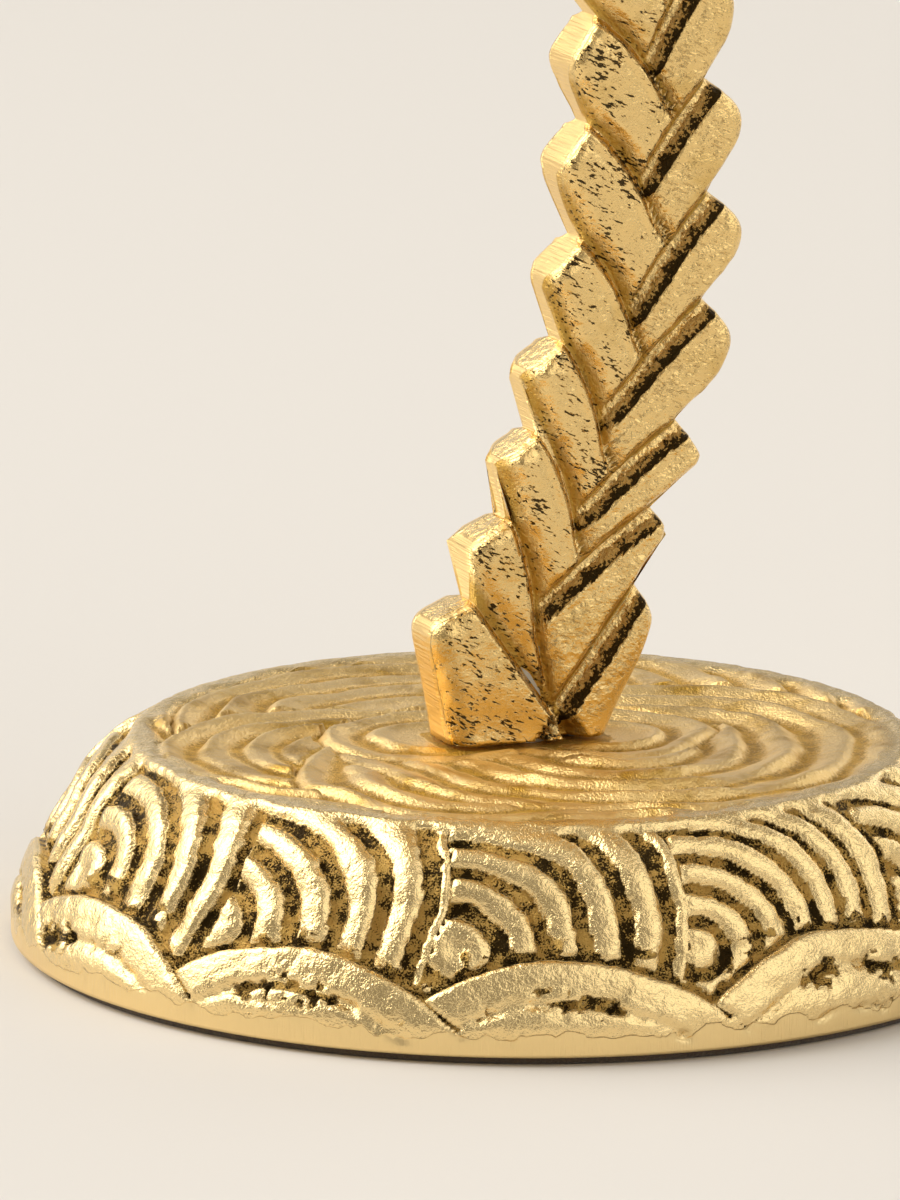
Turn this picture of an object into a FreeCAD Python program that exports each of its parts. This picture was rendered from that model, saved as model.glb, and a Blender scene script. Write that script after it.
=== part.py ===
import FreeCAD, Part

import math
import os

# Candle stand in gold cast metal: a round wave-carved base, a flat cast trunk of chevron scales and a
# crown of fronds round a lift-out candle ring. Millimetres, +Z up, origin under the felt's centre.
# The trunk is a plate in the XZ plane with its carved face towards -Y, and it sways towards +X.

Vector = FreeCAD.Vector
ORIGIN = Vector(0, 0, 0)
UP = Vector(0, 0, 1)
QUARTER_TURN_DEG = 90.0
RIGHT = Vector(1, 0, 0)
BACK = Vector(0, 1, 0)

# Candle and running fits
CANDLE_BORE = 23.0
LIFT_OUT_CLEARANCE = 0.3
PIN_CLEARANCE = 0.03
SLOT_CLEARANCE = 0.1
CUT_OVERRUN = 1.0
TOUCH = 1e-6
ROUND_LIMIT_SHARE = 0.45

# Base casting
BASE_DIAMETER = 110.0
BASE_HEIGHT = 21.3
BASE_TOP_DIAMETER = 83.0
RIM_BAND_HEIGHT = 3.0
SHOULDER_DIAMETER = 98.4
SHOULDER_HEIGHT = 14.3
FLANK_BULGE = 0.5
SHOULDER_BULGE = 1.2
BASE_WALL = 4.5
BASE_TOP_THICKNESS = 5.0
BOSS_DIAMETER = 30.0
BOSS_DEPTH = 8.0

# Waves carved into the base's flank: an upper row of ringed waves stands behind a lower row of broad ones.
# Both rows go once round, each wave laps over the next one to its right, and turns are from the front.
WAVE_DEPTH = 1.1
WAVE_GROOVE = 1.8
WAVE_CUTTER_REACH = 14.0
UPPER_WAVE_TURNS_DEG = (-87.3, -59.8, -28.8, -0.8, 28.9, 59.0, 90.0, 121.0, 151.0, 181.0, 212.0, 242.0)
UPPER_WAVE_RISE = 8.4
UPPER_WAVE_PITCH = 4.4
UPPER_WAVE_FIRST_RING = 2
UPPER_WAVE_RINGS = 5
LOWER_WAVE_TURNS_DEG = (-78.5, -47.7, -16.3, 17.9, 47.0, 76.5, 106.0, 135.0, 164.5, 194.0, 223.5, 252.5)
LOWER_WAVE_DROP = 18.8
LOWER_WAVE_RADIUS = 26.3
LOWER_WAVE_BAND = 4.6
CREASE_SHARE = 0.88

# Felt under the base
FELT_THICKNESS = 1.0
FELT_INSET = 1.2

# Foot screw, its washers and the pin that stops the trunk from turning
FOOT_SCREW_DIAMETER = 6.0
FOOT_SCREW_GRIP_IN_TRUNK = 10.0
FOOT_HEAD_DIAMETER = 10.5
FOOT_HEAD_HEIGHT = 3.6
FOOT_SOCKET_ACROSS_FLATS = 4.0
FOOT_SOCKET_DEPTH = 2.0
SCREW_HOLE_CLEARANCE = 0.3
FOOT_WASHER_DIAMETER = 14.0
FOOT_WASHER_THICKNESS = 1.4
LOCK_WASHER_DIAMETER = 10.6
LOCK_WASHER_THICKNESS = 1.4
LOCK_WASHER_GAP = 1.2
FOOT_PIN_DIAMETER = 3.0
FOOT_PIN_OFFSET = 6.2
FOOT_PIN_IN_BASE = 5.0
FOOT_PIN_IN_TRUNK = 5.0
BLIND_END = 1.0

# Trunk: a swaying plate, with tables of sway and width against shares of its height
TRUNK_HEIGHT = 158.0
TRUNK_WIDTH = 25.6
TRUNK_SWAY = 13.2
SWAY_SHARES = (
    (0.00, 0.00), (0.076, 0.09), (0.133, 0.36), (0.19, 0.585), (0.253, 0.80), (0.316, 0.94),
    (0.386, 0.985), (0.456, 1.00), (0.52, 0.94), (0.64, 0.72), (0.78, 0.36), (0.90, 0.08), (1.00, 0.00),
)
WIDTH_SHARES = (
    (0.00, 0.84), (0.07, 0.92), (0.133, 0.87), (0.19, 0.87), (0.253, 0.88), (0.316, 0.85),
    (0.386, 0.82), (0.456, 0.75), (0.52, 0.72), (0.70, 0.68), (0.88, 0.64), (1.00, 0.62),
)
CORE_THICKNESS = 6.0
CORE_OUTLINE_POINTS = 14
FRAME_STEP_SHARE = 0.005

# Scales on both edges of the trunk, by the share of its height where each tip stands.
# Every scale overlaps the one above it, and the foot block overlaps the lowest pair.
LEFT_SCALE_SHARES = (
    0.105, 0.168, 0.230, 0.305, 0.388, 0.464, 0.534, 0.600, 0.663, 0.723, 0.780, 0.834, 0.885, 0.935,
)
RIGHT_SCALE_SHARES = (
    0.151, 0.208, 0.285, 0.351, 0.427, 0.500, 0.568, 0.633, 0.695, 0.754, 0.810, 0.863, 0.914, 0.965,
)
LEFT_SCALE_ANGLE_DEG = 37.0
RIGHT_SCALE_ANGLE_DEG = 35.0
LEFT_CAP_WIDTH = 3.8
LEFT_CAP_RISE = 4.5
RIGHT_CAP_WIDTH = 4.2
RIGHT_CAP_RISE = 2.4
CAP_ROUND = 2.2
SCALE_GROOVE = 0.25
SCALE_STEP = 1.3
SCALE_STEP_BEVEL = 0.9
SCALE_LOW_PROUD = 0.15
CORE_INSET = 5.0

# Foot block at the trunk's lower end, its outline in shares of its width and height, and the
# round boss at the trunk's upper end
FOOT_WIDTH = 26.0
FOOT_HEIGHT = 15.4
FOOT_POINT_SHARES = {
    "left toe": (-0.340, 0), "right toe": (0.310, 0), "right hip": (0.520, 0.62),
    "right tip": (0.546, 0.80), "right end": (0.440, 1.00), "valley": (0.085, 0.195),
    "left end": (-0.242, 0.98), "left tip": (-0.465, 0.85),
}
FOOT_THICKNESS = 10.6
FOOT_TOP_THICKNESS = 8.8
FOOT_ROUND = 2.5
TOP_BOSS_DIAMETER = 20.0
TOP_BOSS_HEIGHT = 9.0

# Crown screw with its washer, and the crown's own pin
CUP_SCREW_DIAMETER = 5.0
CUP_SCREW_GRIP_IN_TRUNK = 9.0
CUP_HEAD_DIAMETER = 9.0
CUP_HEAD_HEIGHT = 2.8
CUP_SOCKET_ACROSS_FLATS = 3.0
CUP_SOCKET_DEPTH = 1.6
CUP_WASHER_DIAMETER = 11.0
CUP_WASHER_THICKNESS = 1.0
CROWN_PIN_DIAMETER = 2.5
CROWN_PIN_OFFSET = 6.0
CROWN_PIN_IN_HUB = 3.0
CROWN_PIN_IN_TRUNK = 4.0

# Crown hub with a slot for each frond, and the cap that holds the fronds down
FROND_COUNT = 8
HUB_DIAMETER = 32.0
HUB_HEIGHT = 9.0
HUB_CHAMFER = 2.0
CAP_THICKNESS = 2.0
HOOK_DISTANCE = 8.6
HOOK_LENGTH = 2.2
HOOK_DEPTH = 2.2
TANG_WIDTH = 3.0
TANG_HEIGHT = 3.2

# Fronds: long ones droop, short ones stand higher. Each is an arched blade on a midrib, with an edge
# of swept leaflet tips. Its half width follows shares of its length from the hub.
LONG_REACH = 64.0
LONG_CREST = 12.0
LONG_DROP = 17.0
SHORT_REACH = 52.0
SHORT_CREST = 17.0
SHORT_DROP = 3.0
CREST_SHARE = 0.42
FROND_WIDTH = 20.0
FROND_THICKNESS = 1.6
FROND_STALK = 3.0
MIDRIB_WIDTH = 2.4
MIDRIB_HEIGHT = 3.0
LEAFLET_COUNT = 9
LEAFLET_NOTCH_SHARE = 0.66
LEAFLET_SWEEP_SHARE = 0.82
FROND_WIDTH_SHARES = (
    (0.0, 0.40), (0.15, 0.74), (0.35, 0.98), (0.5, 1.0), (0.7, 0.84), (0.88, 0.52), (1.0, 0.16),
)

# Candle cup and the lift-out candle ring in it
CUP_HEIGHT = 29.0
CUP_FLOOR = 4.0
CUP_WALL = 1.8
CUP_FOOT_DIAMETER = 20.0
CUP_WAIST_DIAMETER = 17.0
CUP_WAIST_HEIGHT = 3.0
CUP_BEAD = 1.2
RING_WALL = 1.1
RING_FLOOR = 1.2
RING_DRIP_DIAMETER = 42.0
RING_DRIP_THICKNESS = 1.4
RING_DRIP_RISE = 2.6
RING_SEAT_OVER_SCREW = 1.0

# Places worked out from the sizes above
BASE_TOP_Z = FELT_THICKNESS + BASE_HEIGHT
TRUNK_TOP_Z = BASE_TOP_Z + TRUNK_HEIGHT
HUB_TOP_Z = TRUNK_TOP_Z + HUB_HEIGHT
CUP_Z = HUB_TOP_Z + CAP_THICKNESS
CUP_TOP_Z = CUP_Z + CUP_HEIGHT
BOSS_FACE_Z = BASE_TOP_Z - BASE_TOP_THICKNESS - BOSS_DEPTH
RING_RADIUS = CANDLE_BORE / 2 + RING_WALL
CUP_BORE_RADIUS = RING_RADIUS + LIFT_OUT_CLEARANCE
CUP_RADIUS = CUP_BORE_RADIUS + CUP_WALL


def value_at(table, share):
    """Value at a share of the way along a table of (share, value) rows, joined by smooth cubics."""
    last = len(table) - 1
    row = 0
    while row < last - 1 and share > table[row + 1][0]:
        row += 1

    def slope(i):
        low = max(i - 1, 0)
        high = min(i + 1, last)
        return (table[high][1] - table[low][1]) / (table[high][0] - table[low][0])

    start, end = table[row], table[row + 1]
    span = end[0] - start[0]
    t = min(max((share - start[0]) / span, 0), 1)
    rise = end[1] - start[1]
    a = slope(row) * span - rise
    b = rise - slope(row + 1) * span
    return start[1] + t * rise + t * (1 - t) * ((1 - t) * a + t * b)


def face_of(points):
    """Flat face inside a closed outline of straight edges."""
    return Part.Face(Part.makePolygon(list(points) + [points[0]]))


def rounded_face(points, radii):
    """Flat face inside an outline of straight edges whose corners are rounded by arcs of these radii."""
    edges = []
    count = len(points)
    cuts = []
    for i in range(count):
        corner = points[i]
        before = points[i - 1] - corner
        after = points[(i + 1) % count] - corner
        if radii[i] <= 0:
            cuts.append((corner, corner, corner))
            continue
        half = before.getAngle(after) / 2
        reach = radii[i] / math.tan(half)
        longest = min(before.Length, after.Length) * ROUND_LIMIT_SHARE
        reach = min(reach, longest)
        radius = reach * math.tan(half)
        into = before.normalize() * reach
        out = after.normalize() * reach
        bisector = (into + out).normalize()
        middle = corner + bisector * (radius / math.sin(half) - radius)
        cuts.append((corner + into, middle, corner + out))
    for i in range(count):
        start, middle, end = cuts[i]
        if (end - start).Length > 0:
            edges.append(Part.Arc(start, middle, end).toShape())
        edges.append(Part.LineSegment(end, cuts[(i + 1) % count][0]).toShape())
    return Part.Face(Part.Wire(edges))


def tube(outer, inner, height, place):
    """Ring of the given outer and inner radius, standing on its place."""
    ring = Part.makeCylinder(outer, height, place, UP)
    hole = Part.makeCylinder(inner, height + 2 * CUT_OVERRUN, place - UP * CUT_OVERRUN, UP)
    return ring.cut(hole)


def hexagon(across_flats, height, place):
    """Upright six-sided prism."""
    corner = across_flats / math.sqrt(3)
    points = []
    for side in range(6):
        angle = math.radians(60 * side)
        points.append(place + Vector(corner * math.cos(angle), corner * math.sin(angle), 0))
    return face_of(points).extrude(UP * height)


def socket_screw(diameter, length, head_diameter, head_height, socket, socket_depth, under_head, way):
    """Screw with a hexagon socket. Its shank runs from the seat under the head along way (+1 up, -1 down)."""
    low_end = min(0, way * length)
    shank = Part.makeCylinder(diameter / 2, length, under_head + UP * low_end, UP)
    head_low = -head_height if way > 0 else 0
    head = Part.makeCylinder(head_diameter / 2, head_height, under_head + UP * head_low, UP)
    rim = [e for e in head.Edges if abs(e.BoundBox.ZMin + way * head_height - under_head.z) < TOUCH]
    head = head.makeFillet(head_height / 4, rim)
    top = -head_height - CUT_OVERRUN if way > 0 else head_height - socket_depth
    recess = hexagon(socket, socket_depth + CUT_OVERRUN, under_head + UP * top)
    return head.fuse(shank).cut(recess)


def trunk_frame(share):
    """Centre, upward tangent and rightward normal of the trunk's centre line at a share of its height."""
    sway = TRUNK_SWAY * value_at(SWAY_SHARES, share)
    centre = Vector(sway, 0, BASE_TOP_Z + share * TRUNK_HEIGHT)
    low = max(share - FRAME_STEP_SHARE, 0)
    high = min(share + FRAME_STEP_SHARE, 1)
    rise = TRUNK_SWAY * (value_at(SWAY_SHARES, high) - value_at(SWAY_SHARES, low))
    tangent = Vector(rise, 0, (high - low) * TRUNK_HEIGHT).normalize()
    normal = Vector(tangent.z, 0, -tangent.x)
    return centre, tangent, normal


def half_width(share):
    """Half the trunk's width over its scale tips at a share of its height."""
    return TRUNK_WIDTH / 2 * value_at(WIDTH_SHARES, share)


def trunk_core():
    """The plate behind the scales, a little narrower than the notches between them."""
    left, right = [], []
    for i in range(CORE_OUTLINE_POINTS + 1):
        share = i / CORE_OUTLINE_POINTS
        centre, tangent, normal = trunk_frame(share)
        reach = half_width(share) - CORE_INSET
        left.append(centre - normal * reach)
        right.append(centre + normal * reach)
    # Both ends lie level, on the base and under the crown.
    for side in (left, right):
        side[0].z = BASE_TOP_Z
        side[-1].z = TRUNK_TOP_Z
    left_curve = Part.BSplineCurve()
    left_curve.interpolate(left)
    right_curve = Part.BSplineCurve()
    right_curve.interpolate(right)
    wire = Part.Wire([
        Part.LineSegment(left[0], right[0]).toShape(),
        right_curve.toShape(),
        Part.LineSegment(right[-1], left[-1]).toShape(),
        left_curve.toShape(),
    ])
    core = Part.Face(wire).extrude(BACK * CORE_THICKNESS)
    core.translate(BACK * (-CORE_THICKNESS / 2))
    return core


class ScaleEdge:
    """Upper edge of one scale: its tip, its outer end, and the line that runs down and in from that end."""

    def __init__(self, tip, end, inward):
        self.tip = tip
        self.end = end
        self.inward = inward.normalize()
        across = Vector(self.inward.z, 0, -self.inward.x)
        self.down = across if across.z < 0 else -across

    def raised(self, distance):
        """Point on the line that lies this far above the edge."""
        return self.end - self.down * distance


def scale_edge(side, share):
    """Edge of the scale whose tip stands at this share of the trunk's height."""
    centre, tangent, normal = trunk_frame(share)
    out = normal * side
    angle = math.radians(LEFT_SCALE_ANGLE_DEG if side < 0 else RIGHT_SCALE_ANGLE_DEG)
    cap = LEFT_CAP_WIDTH if side < 0 else RIGHT_CAP_WIDTH
    rise = LEFT_CAP_RISE if side < 0 else RIGHT_CAP_RISE
    width = half_width(share)
    inward = out * -math.sin(angle) - tangent * math.cos(angle)
    return ScaleEdge(centre + out * width, centre + out * (width - cap) + tangent * rise, inward)


def foot_point(name):
    """Named point of the foot block's outline."""
    reach_share, height_share = FOOT_POINT_SHARES[name]
    return Vector(FOOT_WIDTH * reach_share, 0, BASE_TOP_Z + FOOT_HEIGHT * height_share)


def foot_edges():
    """The foot block's two upper edges, which meet in its valley."""
    edges = []
    for side in ("left", "right"):
        end = foot_point(f"{side} end")
        edges.append(ScaleEdge(foot_point(f"{side} tip"), end, foot_point("valley") - end))
    return edges


def crossing(point_a, way_a, point_b, way_b):
    """Where two lines in the XZ plane cross."""
    gap = point_b - point_a
    share = (gap.x * way_b.z - gap.z * way_b.x) / (way_a.x * way_b.z - way_a.z * way_b.x)
    return point_a + way_a * share


def scale_solid(edge, below, opposite):
    """One scale between its upper edge and those of the scale below and the opposite scale below."""
    low_end = below.raised(SCALE_GROOVE)
    far_end = opposite.raised(SCALE_GROOVE)
    inner_top = crossing(edge.end, edge.inward, far_end, opposite.inward)
    inner_low = crossing(low_end, below.inward, far_end, opposite.inward)
    outline = [inner_top, edge.end, edge.tip, low_end, inner_low]
    face = rounded_face(outline, (0, CAP_ROUND, CAP_ROUND, 0, 0))
    high = CORE_THICKNESS / 2 + SCALE_LOW_PROUD + SCALE_STEP
    low = CORE_THICKNESS / 2 + SCALE_LOW_PROUD
    prism = face.extrude(BACK * 2 * high)
    prism.translate(BACK * -high)
    # Across the scale its face climbs a short bevel and then falls gently to the scale below.
    depth = max((low_end - edge.end).dot(edge.down), (inner_low - edge.end).dot(edge.down))
    length = (inner_low - edge.tip).Length * 2
    start = edge.end - edge.inward * (length / 2)
    rows = ((0, low), (SCALE_STEP_BEVEL, high), (depth, low), (length, low))
    section = [start + edge.down * across + BACK * half for across, half in rows]
    section += [start + edge.down * across - BACK * half for across, half in reversed(rows)]
    return prism.common(face_of(section).extrude(edge.inward * length * 2))


def trunk_scales():
    """All the scales above the foot; left and right ones take turns up the trunk."""
    foot_left, foot_right = foot_edges()
    left = [foot_left] + [scale_edge(-1, share) for share in LEFT_SCALE_SHARES]
    right = [foot_right] + [scale_edge(1, share) for share in RIGHT_SCALE_SHARES]
    solids = []
    for i in range(1, len(left)):
        solids.append(scale_solid(left[i], left[i - 1], right[i - 1]))
    for i in range(1, len(right)):
        solids.append(scale_solid(right[i], right[i - 1], left[i]))
    return solids


def trunk_foot():
    """Blunt block that overlaps the lowest pair of scales and thickens towards the base."""
    floor = UP * BASE_TOP_Z
    rounds = {"right tip": CAP_ROUND, "right end": CAP_ROUND, "left end": CAP_ROUND, "left tip": CAP_ROUND}
    face = rounded_face(
        [foot_point(name) for name in FOOT_POINT_SHARES], [rounds.get(name, 0) for name in FOOT_POINT_SHARES])
    block = face.extrude(BACK * FOOT_THICKNESS)
    block.translate(BACK * (-FOOT_THICKNESS / 2))
    top = UP * (BASE_TOP_Z + FOOT_HEIGHT)
    reach = RIGHT * (TRUNK_WIDTH * 2)
    taper = face_of([
        floor - reach - BACK * (FOOT_THICKNESS / 2),
        floor - reach + BACK * (FOOT_THICKNESS / 2),
        top - reach + BACK * (FOOT_TOP_THICKNESS / 2),
        top - reach - BACK * (FOOT_TOP_THICKNESS / 2),
    ]).extrude(reach * 2)
    block = block.common(taper)
    upright = [e for e in block.Edges
               if e.BoundBox.ZMin < BASE_TOP_Z + FOOT_ROUND and e.BoundBox.ZLength > FOOT_THICKNESS / 2]
    return block.makeFillet(FOOT_ROUND, upright)


def blind_hole(radius, depth, x, z, way):
    """Cutter for a blind hole from a level face at z, going up (+1) or down (-1)."""
    start = z - way * CUT_OVERRUN
    return Part.makeCylinder(radius, depth + CUT_OVERRUN, Vector(x, 0, start), UP * way)


def trunk():
    body = trunk_core()
    boss = Part.makeCylinder(TOP_BOSS_DIAMETER / 2, TOP_BOSS_HEIGHT, UP * (TRUNK_TOP_Z - TOP_BOSS_HEIGHT), UP)
    lower_rim = [e for e in boss.Edges if e.BoundBox.ZMax < TRUNK_TOP_Z - TOP_BOSS_HEIGHT / 2]
    boss = boss.makeChamfer(TOP_BOSS_HEIGHT / 2, lower_rim)
    body = body.multiFuse(trunk_scales() + [trunk_foot(), boss])
    limit = TRUNK_WIDTH * 2
    below = Part.makeBox(limit, limit, limit, Vector(-limit / 2, -limit / 2, BASE_TOP_Z - limit))
    above = Part.makeBox(limit, limit, limit, Vector(-limit / 2, -limit / 2, TRUNK_TOP_Z))
    screw_radius = FOOT_SCREW_DIAMETER / 2 + PIN_CLEARANCE
    pin_radius = FOOT_PIN_DIAMETER / 2 + PIN_CLEARANCE
    cup_screw_radius = CUP_SCREW_DIAMETER / 2 + PIN_CLEARANCE
    crown_pin_radius = CROWN_PIN_DIAMETER / 2 + PIN_CLEARANCE
    body = body.cut([
        below,
        above,
        blind_hole(screw_radius, FOOT_SCREW_GRIP_IN_TRUNK + BLIND_END, 0, BASE_TOP_Z, 1),
        blind_hole(pin_radius, FOOT_PIN_IN_TRUNK + PIN_CLEARANCE, FOOT_PIN_OFFSET, BASE_TOP_Z, 1),
        blind_hole(cup_screw_radius, CUP_SCREW_GRIP_IN_TRUNK + BLIND_END, 0, TRUNK_TOP_Z, -1),
        blind_hole(crown_pin_radius, CROWN_PIN_IN_TRUNK + PIN_CLEARANCE, CROWN_PIN_OFFSET, TRUNK_TOP_Z, -1),
    ])
    return body.removeSplitter()


def arc_through(start, end, bulge):
    """Arc from start to end that stands off its chord by bulge, to the left of the way it runs."""
    chord = end - start
    side = Vector(-chord.z, 0, chord.x).normalize()
    middle = (start + end) / 2 - side * bulge
    return Part.Arc(start, middle, end).toShape()


def flank_points():
    """Ends of the flank and of the shoulder above it, in the XZ half plane."""
    return (
        Vector(BASE_DIAMETER / 2, 0, FELT_THICKNESS + RIM_BAND_HEIGHT),
        Vector(SHOULDER_DIAMETER / 2, 0, FELT_THICKNESS + SHOULDER_HEIGHT),
        Vector(BASE_TOP_DIAMETER / 2, 0, BASE_TOP_Z),
    )


def outward(start, end):
    """Unit vector out of the base, square to a line that runs up its side."""
    way = end - start
    return Vector(way.z, 0, -way.x).normalize()


def carved_skin():
    """Outer layer of the flank and shoulder, as thick as the waves are deep, that ends short of the top."""
    band, shoulder, top = flank_points()
    crease = shoulder + (top - shoulder) * CREASE_SHARE
    low_out, high_out = outward(band, shoulder), outward(shoulder, top)
    middle_out = (low_out + high_out).normalize()
    inner = [band - low_out * WAVE_DEPTH, shoulder - middle_out * WAVE_DEPTH, crease - high_out * WAVE_DEPTH]
    outer = [
        band + low_out * CUT_OVERRUN, shoulder + middle_out * CUT_OVERRUN,
        crease + high_out * (SHOULDER_BULGE + CUT_OVERRUN)]
    outline = Part.Wire([
        arc_through(inner[0], inner[1], FLANK_BULGE),
        arc_through(inner[1], inner[2], SHOULDER_BULGE),
        Part.LineSegment(inner[2], outer[2]).toShape(),
        arc_through(outer[2], outer[1], -SHOULDER_BULGE),
        arc_through(outer[1], outer[0], -FLANK_BULGE),
        Part.LineSegment(outer[0], inner[0]).toShape(),
    ])
    return Part.Face(outline).revolve(ORIGIN, UP, 360)


def wave_disc(turn_deg, rise, radius):
    """Round cutter whose axis leaves the flank squarely at this turn and this far up from the rim band."""
    band, shoulder, _ = flank_points()
    out = outward(band, shoulder)
    centre = band + (shoulder - band).normalize() * rise + out * FLANK_BULGE
    turn = FreeCAD.Rotation(UP, turn_deg - QUARTER_TURN_DEG)
    start, way = turn.multVec(centre - out * WAVE_CUTTER_REACH), turn.multVec(out)
    return Part.makeCylinder(radius, WAVE_CUTTER_REACH + 2 * CUT_OVERRUN, start, way)


def wave_rings(turn_deg, rise, radii, hidden_by):
    """Ring grooves of one wave, less what the waves in front of it hide."""
    rings = [
        wave_disc(turn_deg, rise, radius + WAVE_GROOVE / 2).cut(wave_disc(turn_deg, rise, radius - WAVE_GROOVE / 2))
        for radius in radii]
    return Part.Compound(rings).cut(hidden_by)


def near(turn_deg, turns_deg):
    """Those turns that lie within a quarter turn of this one, either way round."""
    return [t for t in turns_deg if math.cos(math.radians(t - turn_deg)) > 0]


def wave_grooves():
    """Grooves of both rows of waves, no deeper than the carved skin."""
    skin = carved_skin()
    crest = LOWER_WAVE_RADIUS + WAVE_GROOVE / 2
    low_discs = {t: wave_disc(t, -LOWER_WAVE_DROP, crest) for t in LOWER_WAVE_TURNS_DEG}
    radii = [UPPER_WAVE_PITCH * k for k in range(UPPER_WAVE_FIRST_RING, UPPER_WAVE_RINGS + 1)]
    grooves = []
    for k, turn in enumerate(UPPER_WAVE_TURNS_DEG):
        left = wave_disc(UPPER_WAVE_TURNS_DEG[k - 1], UPPER_WAVE_RISE, radii[-1])
        hidden_by = [left] + [low_discs[t] for t in near(turn, LOWER_WAVE_TURNS_DEG)]
        grooves.append(wave_rings(turn, UPPER_WAVE_RISE, radii, hidden_by).common(skin))
    for k, turn in enumerate(LOWER_WAVE_TURNS_DEG):
        left = low_discs[LOWER_WAVE_TURNS_DEG[k - 1]]
        radii_low = [crest, crest - LOWER_WAVE_BAND]
        grooves.append(wave_rings(turn, -LOWER_WAVE_DROP, radii_low, [left]).common(skin))
    return grooves


def base():
    """Hollow casting: a ground rim band, a carved flank, a round shoulder, a flat top and a screw boss."""
    radius = BASE_DIAMETER / 2
    bottom = Vector(radius, 0, FELT_THICKNESS)
    band, shoulder, top = flank_points()
    centre_top = Vector(0, 0, BASE_TOP_Z)
    centre_bottom = Vector(0, 0, FELT_THICKNESS)
    outline = Part.Wire([
        Part.LineSegment(centre_bottom, bottom).toShape(),
        Part.LineSegment(bottom, band).toShape(),
        arc_through(band, shoulder, FLANK_BULGE),
        arc_through(shoulder, top, SHOULDER_BULGE),
        Part.LineSegment(top, centre_top).toShape(),
        Part.LineSegment(centre_top, centre_bottom).toShape(),
    ])
    solid = Part.Face(outline).revolve(ORIGIN, UP, 360)
    ceiling = BASE_TOP_Z - BASE_TOP_THICKNESS
    hollow = face_of([
        Vector(BOSS_DIAMETER / 2, 0, FELT_THICKNESS - CUT_OVERRUN),
        Vector(radius - BASE_WALL, 0, FELT_THICKNESS - CUT_OVERRUN),
        Vector(radius - BASE_WALL, 0, FELT_THICKNESS + RIM_BAND_HEIGHT),
        Vector(SHOULDER_DIAMETER / 2 - BASE_WALL, 0, FELT_THICKNESS + SHOULDER_HEIGHT - BASE_WALL / 2),
        Vector(BASE_TOP_DIAMETER / 2, 0, ceiling),
        Vector(BOSS_DIAMETER / 2, 0, ceiling),
    ]).revolve(ORIGIN, UP, 360)
    boss_room = Part.makeCylinder(
        BOSS_DIAMETER / 2 + CUT_OVERRUN, BOSS_FACE_Z - FELT_THICKNESS + CUT_OVERRUN,
        UP * (FELT_THICKNESS - CUT_OVERRUN), UP)
    hole_radius = FOOT_SCREW_DIAMETER / 2 + SCREW_HOLE_CLEARANCE
    screw_hole = Part.makeCylinder(
        hole_radius, BASE_TOP_Z - BOSS_FACE_Z + 2 * CUT_OVERRUN, UP * (BOSS_FACE_Z - CUT_OVERRUN), UP)
    pin_hole = blind_hole(
        FOOT_PIN_DIAMETER / 2 + PIN_CLEARANCE, FOOT_PIN_IN_BASE + PIN_CLEARANCE, FOOT_PIN_OFFSET, BASE_TOP_Z, -1)
    return solid.cut([hollow, boss_room, screw_hole, pin_hole] + wave_grooves())


def felt_pad():
    return Part.makeCylinder(BASE_DIAMETER / 2 - FELT_INSET, FELT_THICKNESS, ORIGIN, UP)


def foot_washer():
    return tube(
        FOOT_WASHER_DIAMETER / 2, FOOT_SCREW_DIAMETER / 2 + SCREW_HOLE_CLEARANCE, FOOT_WASHER_THICKNESS,
        UP * (BOSS_FACE_Z - FOOT_WASHER_THICKNESS))


def foot_lock_washer():
    """Split spring washer between the flat washer and the screw's head, drawn pressed flat."""
    place = UP * (BOSS_FACE_Z - FOOT_WASHER_THICKNESS - LOCK_WASHER_THICKNESS)
    ring = tube(
        LOCK_WASHER_DIAMETER / 2, FOOT_SCREW_DIAMETER / 2 + SCREW_HOLE_CLEARANCE, LOCK_WASHER_THICKNESS, place)
    gap = Part.makeBox(
        LOCK_WASHER_DIAMETER, LOCK_WASHER_GAP, LOCK_WASHER_THICKNESS + 2 * CUT_OVERRUN,
        place + Vector(0, -LOCK_WASHER_GAP / 2, -CUT_OVERRUN))
    return ring.cut(gap)


def foot_screw():
    seat = BOSS_FACE_Z - FOOT_WASHER_THICKNESS - LOCK_WASHER_THICKNESS
    length = BASE_TOP_Z + FOOT_SCREW_GRIP_IN_TRUNK - seat
    return socket_screw(
        FOOT_SCREW_DIAMETER, length, FOOT_HEAD_DIAMETER, FOOT_HEAD_HEIGHT,
        FOOT_SOCKET_ACROSS_FLATS, FOOT_SOCKET_DEPTH, UP * seat, 1)


def foot_pin():
    start = Vector(FOOT_PIN_OFFSET, 0, BASE_TOP_Z - FOOT_PIN_IN_BASE)
    return Part.makeCylinder(FOOT_PIN_DIAMETER / 2, FOOT_PIN_IN_BASE + FOOT_PIN_IN_TRUNK, start, UP)


def frond_angles():
    """Direction of each frond from above; the long ones and the short ones take turns."""
    step = 360 / FROND_COUNT
    return [step * (i + 0.5) for i in range(FROND_COUNT)]


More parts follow.
